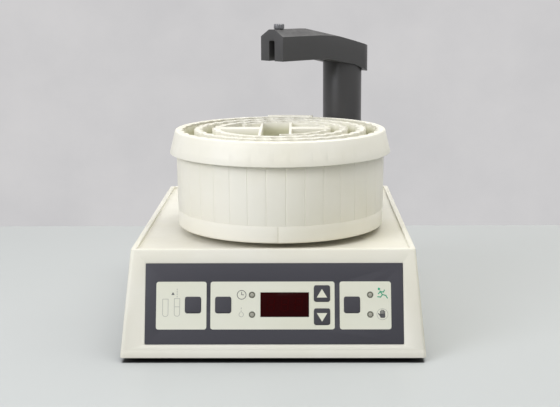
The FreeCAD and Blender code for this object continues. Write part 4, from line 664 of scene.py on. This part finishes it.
def filled(shape, thick, low=0.0):
    """Fills outlines, leaves holes inside outlines open, and gives the sheet a thickness."""
    bmesh.ops.triangle_fill(shape, use_beauty=True, use_dissolve=False, edges=list(shape.edges))
    raised = bmesh.ops.extrude_face_region(shape, geom=list(shape.faces))
    tops = [v for v in raised["geom"] if isinstance(v, bmesh.types.BMVert)]
    bmesh.ops.translate(shape, verts=tops, vec=(0, 0, thick))
    bmesh.ops.translate(shape, verts=shape.verts, vec=(0, 0, low))
    bmesh.ops.recalc_face_normals(shape, faces=shape.faces)
    return shape


def turned(points, segments):
    """A shape spun about the upright axis from a half outline of radius and height."""
    shape = bmesh.new()
    verts = [shape.verts.new((radius, 0, height)) for radius, height in points]
    for start, end in zip(verts, verts[1:]):
        shape.edges.new((start, end))
    bmesh.ops.spin(
        shape, geom=list(shape.verts) + list(shape.edges), cent=(0, 0, 0), axis=(0, 0, 1),
        dvec=(0, 0, 0), angle=math.tau, steps=segments, use_merge=True,
        use_normal_flip=False, use_duplicate=False)
    bmesh.ops.remove_doubles(shape, verts=shape.verts, dist=SEAM_DISTANCE)
    bmesh.ops.recalc_face_normals(shape, faces=shape.faces)
    return shape


def merge_shapes(shapes):
    """Joins finished shapes into one."""
    whole = bmesh.new()
    for part in shapes:
        mesh = bpy.data.meshes.new("part")
        part.to_mesh(mesh)
        part.free()
        whole.from_mesh(mesh)
        bpy.data.meshes.remove(mesh)
    return whole


def on_panel(shape):
    """Moves a shape from the panel's axes to its place on the face."""
    bmesh.ops.transform(shape, matrix=PANEL, verts=shape.verts)
    return shape


def panel_points(node):
    """A node's corners in the panel's axes."""
    inverse = PANEL.inverted()
    return [inverse @ v.co for v in frame["nodes"][node].data.vertices]


def panel_top(node):
    """The height of a node's outermost face over the panel."""
    return max(v.z for v in panel_points(node))


def panel_xy(node):
    """The middle of a node on the panel, in the panel's axes."""
    low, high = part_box(node)
    spot = PANEL.inverted() @ ((low + high) / 2)
    return spot.x, spot.y


def middle_of(values):
    """Halfway between the least and the greatest."""
    return (min(values) + max(values)) / 2


def lamp_spots():
    """The four lamp centres on the panel, read from the lamp node's corners."""
    points = panel_points("indicator_lamps")
    half, middle = middle_of([v.x for v in points]), middle_of([v.y for v in points])
    spots = []
    for left in (True, False):
        for lower in (True, False):
            own = [v for v in points if (v.x < half) == left and (v.y < middle) == lower]
            spots.append((middle_of([v.x for v in own]), middle_of([v.y for v in own])))
    return spots


# Operators


class PieceOperator(bpy.types.Operator):
    """Shared options of the operators that make pieces"""

    bl_idname = "collector.piece"
    bl_label = "Piece"
    bl_options = {"REGISTER", "UNDO"}

    def execute(self, context):
        self.make()
        return {"FINISHED"}


class COLLECTOR_OT_housing(PieceOperator):
    """Housing and pan with rounded edges, so that their seam shows"""

    bl_idname = "collector.housing"
    bl_label = "Housing and pan"

    def make(self):
        edge = sizes().housing_edge
        softened("base_housing", "housing_shell", "base", "housing", edge)
        softened("base_pan", "pan_shell", "base", "pan", edge)
        dress("foot", "rubber_feet")
        dress("steel", "pan_screws", "machine_screws")


# The printed fields: name, middle and width along the panel
FIELDS = (
    ("left", *mm(-78.1, 42.4)),
    ("middle", *mm(-1.3, 104.4)),
    ("right", *mm(76.75, 43.1)),
)
FIELD_Y = -1.55 * MM
FIELD_TALL = 40.1 * MM
FIELD_CORNER_STEPS = 5

# Holes in the print: width, height and corner radius for the keys, and a radius for the lamps
KEY_HOLE = mm(13.75, 13.75, 2.1)
WINDOW_HOLE = mm(41.0, 20.8)
LAMP_HOLE = 2.75 * MM
LAMP_HOLE_STEPS = 28


class COLLECTOR_OT_panel(PieceOperator):
    """Panel sheet with its three printed fields"""

    bl_idname = "collector.panel"
    bl_label = "Panel sheet"

    def make(self):
        softened("keypad_overlay", "panel_sheet", "base", "sheet", FINE_EDGE)
        for name, x, wide in FIELDS:
            shape = flat_box(bmesh.new(), x, FIELD_Y, wide, FIELD_TALL, sizes().field_corner,
                             FIELD_CORNER_STEPS)
            for spot in map(panel_xy, KEYS):
                if abs(spot[0] - x) < wide / 2:
                    flat_box(shape, *spot, *KEY_HOLE)
            if name == "middle":
                flat_box(shape, *panel_xy("display_window"), *WINDOW_HOLE)
            for spot in lamp_spots():
                if abs(spot[0] - x) < wide / 2:
                    flat_ring(shape, *spot, LAMP_HOLE, LAMP_HOLE_STEPS)
            sheet = on_panel(filled(shape, sizes().ink))
            new_piece("printed_field_" + name, sheet, "base", "field")


# Middles of the pictograms on the panel
POINTER = mm(-85.2, 8.2)
CLOCK = mm(-27.3, 7.4)
DROP = mm(-27.6, -9.2)
RUN = mm(90.6, 8.0)
HOLD = mm(90.9, -9.0)

# Radii, and line widths as shares of the pictogram line
POINTER_RADIUS = 1.6 * MM
CLOCK_RADIUS = 4.0 * MM
DROP_RADIUS = 2.1 * MM
HEAD_RADIUS = 1.05 * MM
HOLD_RADIUS, HOLD_LINE = mm(4.8, 0.35)
JET_LINE, CLOCK_LINE, TRAIL_LINE = 1.3, 1.3, 1.4
ROUND_STEPS, DROP_STEPS, HEAD_STEPS = 24, 20, 16

# Two test tubes as middle, low and high end, and the jet and level of the second one, in
# millimetres
TUBES = ((-91.5, -10.9, 4.1), (-81.7, -10.7, 4.5))
TUBE_WIDE = 5.0 * MM
TUBE_CORNER = 2.3 * MM
TUBE_CORNER_STEPS = 6
JET = [((-81.7, 5.6 + 2.0 * step), (-81.7, 5.6 + 2.0 * step + 0.8)) for step in range(4)]
LEVEL = ((-83.6, -2.6), (-79.8, -2.6))

# The drop's trail, and how far its tip rises and its shoulders rise and draw in
TRAIL = ((0, 4.9), (0, 5.6))
TIP_RISE, SHOULDER_RISE, SHOULDER_DRAW = 0.9, 0.25, 0.35

# Head and limbs of the running figure, and palm, fingers and thumb of the hand, from their
# middles, in millimetres
HEAD = (-2.4, 4.2)
LIMBS = (
    ((-1.5, 2.4), (0.5, -0.6)), ((0.5, -0.6), (3.3, -1.2)), ((3.3, -1.2), (4.6, -3.4)),
    ((0.5, -0.6), (-1.0, -2.6)), ((-1.0, -2.6), (-3.4, -2.4)),
    ((-1.2, 1.9), (1.4, 1.6)), ((1.4, 1.6), (2.2, 3.2)), ((-1.2, 1.9), (-2.8, 0.2)),
)
FINGERS = [((-1.5 + 1.13 * step, 0), (-1.5 + 1.13 * step, tall))
           for step, tall in enumerate((2.5, 3.3, 3.2, 2.4))]
PALM = (0.2, -1.3)
PALM_SIZE = mm(4.3, 3.6, 1.1)
THUMB = ((-1.6, -1.4), (-3.1, 0.4))
LIMB_WIDE, FINGER_WIDE, THUMB_WIDE = mm(0.85, 0.86, 0.95)


def spot_from(middle, offset):
    """A spot on the panel that is so many millimetres from a middle."""
    return middle[0] + offset[0] * MM, middle[1] + offset[1] * MM


def strokes(middle, lines, wide):
    """Bars between points that are given in millimetres from a middle."""
    return [bar(spot_from(middle, start), spot_from(middle, end), wide) for start, end in lines]


def band(x, y, radius, wide):
    """A circle drawn with a line."""
    outer = flat_ring(bmesh.new(), x, y, radius, ROUND_STEPS)
    return flat_ring(outer, x, y, radius - wide, ROUND_STEPS)


class COLLECTOR_OT_pictograms(PieceOperator):
    """Printed pictograms on the fields: tubes, clock, drop, run and hold"""

    bl_idname = "collector.pictograms"
    bl_label = "Pictograms"

    def make(self):
        for name, look, shapes in (
            ("tubes", "soft_ink", self.tubes()),
            ("pointer", "dark_ink", [flat_ring(bmesh.new(), *POINTER, POINTER_RADIUS, 3)]),
            ("clock", "dark_ink", self.clock()),
            ("drop", "soft_ink", self.drop()),
            ("run", "green_ink", self.run()),
            ("hold", "dark_ink", self.hold()),
            ("hold_ring", "soft_ink", [band(*HOLD, HOLD_RADIUS, HOLD_LINE)]),
        ):
            flat = merge_shapes([filled(shape, sizes().ink, sizes().ink) for shape in shapes])
            new_piece("printed_" + name, on_panel(flat), "base", look)

    def tubes(self):
        """Two test tubes, the second with a filling jet."""
        line = sizes().stroke
        shapes = []
        for x, low, high in TUBES:
            tall, middle = (high - low) * MM, (low + high) / 2 * MM
            shape = bmesh.new()
            for inset in (0.0, line):
                flat_box(shape, x * MM, middle, TUBE_WIDE - 2 * inset, tall - 2 * inset,
                         TUBE_CORNER - inset, TUBE_CORNER_STEPS, True)
            shapes.append(shape)
        shapes += strokes((0, 0), JET, line * JET_LINE)
        return shapes + strokes((0, 0), [LEVEL], line)

    def clock(self):
        """A dial with two hands."""
        x, y = CLOCK
        line = sizes().stroke * CLOCK_LINE
        return [
            band(x, y, CLOCK_RADIUS, line),
            bar((x, y + line), spot_from(CLOCK, (0, 2.2)), line),
            bar(CLOCK, spot_from(CLOCK, (1.6, 0)), line),
        ]

    def drop(self):
        """A falling drop: two circles whose tops are drawn up to a tip."""
        x, y = DROP
        shape = bmesh.new()
        for radius in (DROP_RADIUS, DROP_RADIUS - sizes().stroke):
            made = bmesh.ops.create_circle(
                shape, cap_ends=False, segments=DROP_STEPS, radius=radius,
                matrix=Matrix.Translation((x, y, 0)))
            top = max(made["verts"], key=lambda v: v.co.y)
            top.co.y += radius * TIP_RISE
            for edge in top.link_edges:
                side = edge.other_vert(top)
                side.co.y += radius * SHOULDER_RISE
                side.co.x += (x - side.co.x) * SHOULDER_DRAW
        return [shape, *strokes(DROP, [TRAIL], sizes().stroke * TRAIL_LINE)]

    def run(self):
        """A striding figure built from strokes."""
        head = flat_ring(bmesh.new(), *spot_from(RUN, HEAD), HEAD_RADIUS, HEAD_STEPS)
        return [*strokes(RUN, LIMBS, LIMB_WIDE), head]

    def hold(self):
        """A raised open hand."""
        return [
            flat_box(bmesh.new(), *spot_from(HOLD, PALM), *PALM_SIZE),
            *strokes(HOLD, FINGERS, FINGER_WIDE),
            *strokes(HOLD, [THUMB], THUMB_WIDE),
        ]


ARROW_RADIUS = 5.0 * MM
ARROW_SHIFT = 0.8 * MM
ARROW_WIDE, ARROW_TALL = 1.02, 0.96


class COLLECTOR_OT_keys(PieceOperator):
    """Square keys with soft edges, and arrows on two of them"""

    bl_idname = "collector.keys"
    bl_label = "Keys"

    def make(self):
        for key in KEYS:
            softened(key, key + "_cap", key + "_body", "key", sizes().key_edge, segments=3)
        self.arrow("up_key", 1)
        self.arrow("down_key", -1)

    def arrow(self, key, way):
        """A printed arrow head that points up the panel, or down it where way is -1."""
        x, y = panel_xy(key)
        shape = flat_ring(bmesh.new(), 0, 0, ARROW_RADIUS, 3)
        place = Matrix.Translation((x, y - way * ARROW_SHIFT, 0))
        stretch = Matrix.Diagonal((ARROW_WIDE, way * ARROW_TALL, 1, 1))
        bmesh.ops.transform(shape, matrix=place @ stretch, verts=shape.verts)
        flat = filled(shape, sizes().ink, panel_top(key))
        new_piece(key + "_arrow", on_panel(flat), key + "_body", "field")


# Digits of the display: pitch, width, half height, slant, line, gap between bars and thickness
DIGIT_PITCH = 11.6 * MM
DIGIT_WIDE = 5.6 * MM
DIGIT_HALF = 5.2 * MM
DIGIT_LEAN = 0.10
DIGIT_LINE = 0.9 * MM
DIGIT_GAP = 0.35 * MM
DIGIT_RAISED = 0.02 * MM

# Half outlines of a lamp's lens above its collar and of its core, as radius and height over
# the panel
COLLAR_RADIUS = 2.9 * MM
LENS = [mm(*spot) for spot in (
    (2.9, -4.4), (2.6, -3.4), (2.6, -0.15), (2.45, 0.05), (2.0, 0.12), (1.75, 0.02),
    (1.7, -0.3), (0, -0.3))]
CORE = [mm(*spot) for spot in (
    (0, -0.3), (1.62, -0.3), (1.6, -0.05), (1.3, 0.1), (0.8, 0.2), (0, 0.25))]


class COLLECTOR_OT_display(PieceOperator):
    """Tinted display window with three unlit digits, and the four lamps"""

    bl_idname = "collector.display"
    bl_label = "Window and lamps"

    def make(self):
        softened("display_window", "window_pane", "base", "window", PANE_EDGE)
        self.digits()
        self.lamps()

    def digits(self):
        """Seven bars for each of three digits."""
        x, y = panel_xy("display_window")
        face = panel_top("display_window")
        side_x, end_x, end_y = DIGIT_WIDE / 2, DIGIT_WIDE / 2 - DIGIT_GAP, DIGIT_HALF - DIGIT_GAP
        bars = [((-end_x, row * DIGIT_HALF), (end_x, row * DIGIT_HALF)) for row in (-1, 0, 1)]
        bars += [((side * side_x, row * DIGIT_GAP), (side * side_x, row * end_y))
                 for side in (-1, 1) for row in (-1, 1)]
        shapes = []
        for step in (-1, 0, 1):
            for ends in bars:
                start, end = ((x + step * DIGIT_PITCH + across + up * DIGIT_LEAN, y + up)
                              for across, up in ends)
                shapes.append(filled(bar(start, end, DIGIT_LINE), DIGIT_RAISED, face))
        new_piece("display_digits", on_panel(merge_shapes(shapes)), "base", "segment")

    def lamps(self):
        """Domed lenses in collars, which stand for the lamp node, and their cores."""
        low = min(v.z for v in panel_points("indicator_lamps"))
        lens = [(0, low), (COLLAR_RADIUS, low), *LENS]
        for name, outline, look, stands_for in (
            ("lamp_lenses", lens, "lamp", ("indicator_lamps",)),
            ("lamp_cores", CORE, "lamp_core", ()),
        ):
            shapes = []
            for x, y in lamp_spots():
                shape = turned(outline, sizes().lamp_segments)
                place = PANEL @ Matrix.Translation((x, y, 0))
                bmesh.ops.transform(shape, matrix=place, verts=shape.verts)
                shapes.append(shape)
            new_piece(name, merge_shapes(shapes), "base", look, stands_for)


class COLLECTOR_OT_rack(PieceOperator):
    """Rack walls, rim and tray with rounded edges"""

    bl_idname = "collector.rack"
    bl_label = "Tube rack"

    def make(self):
        for look, parts in (
            ("rack", ("tray", "outer_wall", "rim")),
            ("rack_inner", ("middle_wall", "inner_wall", "core_wall", "core_webs")),
        ):
            for part in parts:
                softened("rack_" + part, "rack_moulded_" + part, "rack", look,
                         sizes().rack_edge)
        dress("hub", "turntable_hub")


class COLLECTOR_OT_arm(PieceOperator):
    """Swing arm with rounded edges, its post and its cover"""

    bl_idname = "collector.arm"
    bl_label = "Swing arm"

    def make(self):
        softened("arm_shell", "arm_moulding", "arm", "arm", sizes().arm_edge, segments=3, angle=20)
        softened("arm_column", "arm_post", "arm", "column", FITTING_EDGE)
        dress("arm", "arm_cover")


class COLLECTOR_OT_head(PieceOperator):
    """Drop former, sensor noses and the fluted clamp nut"""

    bl_idname = "collector.head"
    bl_label = "Drop head"

    def make(self):
        dress("black", "drop_former", "drop_sensors")
        softened("tubing_clamp_nut", "fluted_nut", "clamp_nut", "gunmetal", FINE_EDGE)


class COLLECTOR_OT_back(PieceOperator):
    """Power inlet, switch, fuse holder and signal socket on the back wall"""

    bl_idname = "collector.back"
    bl_label = "Back wall fittings"

    def make(self):
        softened("power_inlet", "inlet_moulding", "base", "black", FITTING_EDGE)
        softened("power_switch_frame", "switch_moulding", "base", "black", FITTING_EDGE)
        softened("power_rocker", "rocker_moulding", "rocker", "rocker", FITTING_EDGE)
        softened("fuse_holder", "fuse_moulding", "base", "black", FITTING_EDGE)
        dress("nickel", "signal_socket")


class COLLECTOR_OT_inside(PieceOperator):
    """Finishes of the parts inside the base"""

    bl_idname = "collector.inside"
    bl_label = "Inside parts"

    def make(self):
        dress("board", "main_board", "display_board")
        dress("parts", "board_components", "key_switches", "display_module", "index_sensor")
        dress("steel", "board_standoffs", "spindle", "spindle_bearings",
              "carousel_motor_shaft", "arm_motor_shaft")
        dress("aluminium", "spindle_housing", "column_housing", "driven_pulley", "arm_pulley",
              "carousel_motor_pulley", "arm_motor_pulley")
        dress("zinc", "carousel_motor_bracket", "arm_motor_bracket", "index_disc")
        dress("lacquer", "carousel_motor", "arm_motor")
        dress("belt", "carousel_belt", "arm_belt")
        dress("laminations", "transformer_core")
        dress("winding", "transformer_winding")


CAMERA_AT = Vector((21.57, -1057.45, 308.59)) * MM
CAMERA_PITCH = 0.19215
CAMERA_YAW = 0.01665
CAMERA_ROLL = -0.006
CAMERA_LENS = 71.66

# The table top, and the painted shadow under the pan: its reach past the pan's half sizes and
# its blur
TABLE_BACK = 0.376
TABLE_SIZE = Vector((6.0, 3.0, 0.002))
TABLE_COLOURS = (0.51, 0.525, 0.52, 1), (0.48, 0.50, 0.495, 1)
SHADOW_COLOUR = (0.03, 0.03, 0.03, 1)
SHADOW_REACH = mm(-2, 0.6)
SHADOW_BLUR = 1.2 * MM

# The lights: name, place, size, power and colour
LIGHTS = (
    ("left_light", (-1.35, -1.2, 1.1), (1.1, 1.0), 20.0, (0.93, 0.945, 1.0)),
    ("right_light", (0.9, 0.2, 1.7), (1.2, 1.2), 11.0, (1.0, 1.0, 0.93)),
    ("front_light", (0.4, -1.5, 1.9), (1.6, 1.0), 6.5, (1.0, 1.0, 1.0)),
    ("top_light", (0.0, 0.1, 1.9), (1.6, 1.2), 13.5, (1.0, 1.0, 1.0)),
)
LIGHT_TARGET = Vector((0, 0, 0.12))

WALL_COLOURS = (0.57, 0.565, 0.575, 1), (0.64, 0.63, 0.635, 1)

# The soft light grows from the first height of its direction to the second, between two
# strengths
SOFT_LIGHT = 0.02, 0.4, 0.15, 0.56


def stage_object(name, data):
    """A new object in the scene."""
    item = bpy.data.objects.new(name, data)
    bpy.context.scene.collection.objects.link(item)
    return item


class COLLECTOR_OT_stage(PieceOperator):
    """Pale table, soft lights, background and camera"""

    bl_idname = "collector.stage"
    bl_label = "Stage"

    def make(self):
        self.table()
        self.lights()
        self.world()
        self.camera()
        bpy.context.scene.view_settings.view_transform = "Standard"

    def table(self):
        """A thin table top with a painted shadow, nearly black, where the pan covers it."""
        shape = bmesh.new()
        middle = Matrix.Translation((0, TABLE_BACK - TABLE_SIZE.y / 2, -TABLE_SIZE.z / 2))
        bmesh.ops.create_cube(
            shape, size=1.0, matrix=middle @ Matrix.Diagonal((*TABLE_SIZE, 1)))
        mesh = bpy.data.meshes.new("table_top")
        shape.to_mesh(mesh)
        shape.free()
        material, tree, shader, place = bare_material("pale_table")
        colour, aged = TABLE_COLOURS
        tint = group_node(
            tree, "tint", vector=place, colour=colour, aged=aged, amount=0.5, scale=1.5)
        across = split(tree, place)
        covered = []
        for axis, edge, reach in zip("XY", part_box("base_pan")[1], SHADOW_REACH):
            off = calc(tree, "ABSOLUTE", across[axis])
            covered.append(ramp(tree, off, edge + reach - SHADOW_BLUR,
                                edge + reach + SHADOW_BLUR, 1.0, 0.0, smooth=True))
        wire(tree, shader, {
            "Base Color": blend(
                tree, product(tree, *covered), tint.outputs["Colour"], SHADOW_COLOUR),
            "Roughness": 0.42,
            "Specular IOR Level": 0.3})
        mesh.materials.append(material)
        table = stage_object("table_top", mesh)

    def lights(self):
        """Four soft lights that look at the rack."""
        for name, spot, size, power, colour in LIGHTS:
            lamp = bpy.data.lights.new(name, "AREA")
            lamp.shape = "RECTANGLE"
            lamp.size, lamp.size_y = size
            lamp.energy = power
            lamp.color = colour
            holder = stage_object(name, lamp)
            holder.location = spot
            aim = LIGHT_TARGET - Vector(spot)
            holder.rotation_mode = "QUATERNION"
            holder.rotation_quaternion = aim.to_track_quat("-Z", "Y")

    def world(self):
        """A pale mottled wall for the camera and for gloss, and plain soft light for the rest."""
        world = bpy.data.worlds.new("pale_room")
        bpy.context.scene.world = world
        world.use_nodes = True
        tree = world.node_tree
        tree.nodes.clear()
        way = tree.nodes.new("ShaderNodeTexCoord").outputs["Generated"]
        mottle = ramp(tree, noise(tree, way, 9.0, 6.0, 0.6), 0.3, 0.7)
        seen = add(tree, "ShaderNodeBackground", {"Color": blend(tree, mottle, *WALL_COLOURS)})
        height = ramp(tree, split(tree, way)["Z"], *SOFT_LIGHT, smooth=True)
        soft = add(tree, "ShaderNodeBackground", {"Color": WHITE, "Strength": height})
        path = tree.nodes.new("ShaderNodeLightPath").outputs
        clear = calc(tree, "MAXIMUM", path["Is Camera Ray"], path["Is Glossy Ray"])
        clear = calc(tree, "MAXIMUM", clear, path["Is Transmission Ray"])
        mix = add(tree, "ShaderNodeMixShader", {
            0: clear, 1: soft.outputs[0], 2: seen.outputs[0]})
        wire(tree, tree.nodes.new("ShaderNodeOutputWorld"), {"Surface": mix.outputs[0]})

    def camera(self):
        """The photograph's camera."""
        lens = bpy.data.cameras.new("photo_camera")
        lens.lens = CAMERA_LENS
        lens.sensor_width = 36.0
        lens.clip_start, lens.clip_end = 0.05, 20.0
        camera = stage_object("photo_camera", lens)
        right = Vector((math.cos(CAMERA_YAW), math.sin(CAMERA_YAW), 0))
        level = Vector((-math.sin(CAMERA_YAW), math.cos(CAMERA_YAW), 0))
        upright = Vector((0, 0, 1))
        ahead = level * math.cos(CAMERA_PITCH) - upright * math.sin(CAMERA_PITCH)
        up = level * math.sin(CAMERA_PITCH) + upright * math.cos(CAMERA_PITCH)
        image_x = right * math.cos(CAMERA_ROLL) + up * math.sin(CAMERA_ROLL)
        image_y = up * math.cos(CAMERA_ROLL) - right * math.sin(CAMERA_ROLL)
        turn = Matrix((image_x, image_y, -ahead)).transposed().to_4x4()
        camera.matrix_world = Matrix.Translation(CAMERA_AT) @ turn
        bpy.context.scene.camera = camera


OPERATORS = (
    COLLECTOR_OT_housing,
    COLLECTOR_OT_panel,
    COLLECTOR_OT_pictograms,
    COLLECTOR_OT_keys,
    COLLECTOR_OT_display,
    COLLECTOR_OT_rack,
    COLLECTOR_OT_arm,
    COLLECTOR_OT_head,
    COLLECTOR_OT_back,
    COLLECTOR_OT_inside,
    COLLECTOR_OT_stage,
)


class COLLECTOR_PT_sidebar(bpy.types.Panel):
    """Lists the pieces in the sidebar"""

    bl_idname = "COLLECTOR_PT_sidebar"
    bl_label = "Fraction Collector"
    bl_space_type = "VIEW_3D"
    bl_region_type = "UI"
    bl_category = "Collector"

    def draw(self, context):
        for group in (context.scene.collector_colours, context.scene.collector_sizes):
            box = self.layout.box()
            for name in group.bl_rna.properties.keys():
                if name not in {"rna_type", "name"}:
                    box.prop(group, name)
        for operator in OPERATORS:
            self.layout.operator(operator.bl_idname)


CLASSES = (CollectorColours, CollectorSizes, *OPERATORS, COLLECTOR_PT_sidebar)


def register():
    for item in CLASSES:
        bpy.utils.register_class(item)
    bpy.types.Scene.collector_colours = PointerProperty(type=CollectorColours)
    bpy.types.Scene.collector_sizes = PointerProperty(type=CollectorSizes)


def unregister():
    del bpy.types.Scene.collector_sizes
    del bpy.types.Scene.collector_colours
    for item in reversed(CLASSES):
        bpy.utils.unregister_class(item)


def main():
    register()
    for operator in OPERATORS:
        _, name = operator.bl_idname.split(".")
        getattr(bpy.ops.collector, name)()


if __name__ == "__main__":
    main()
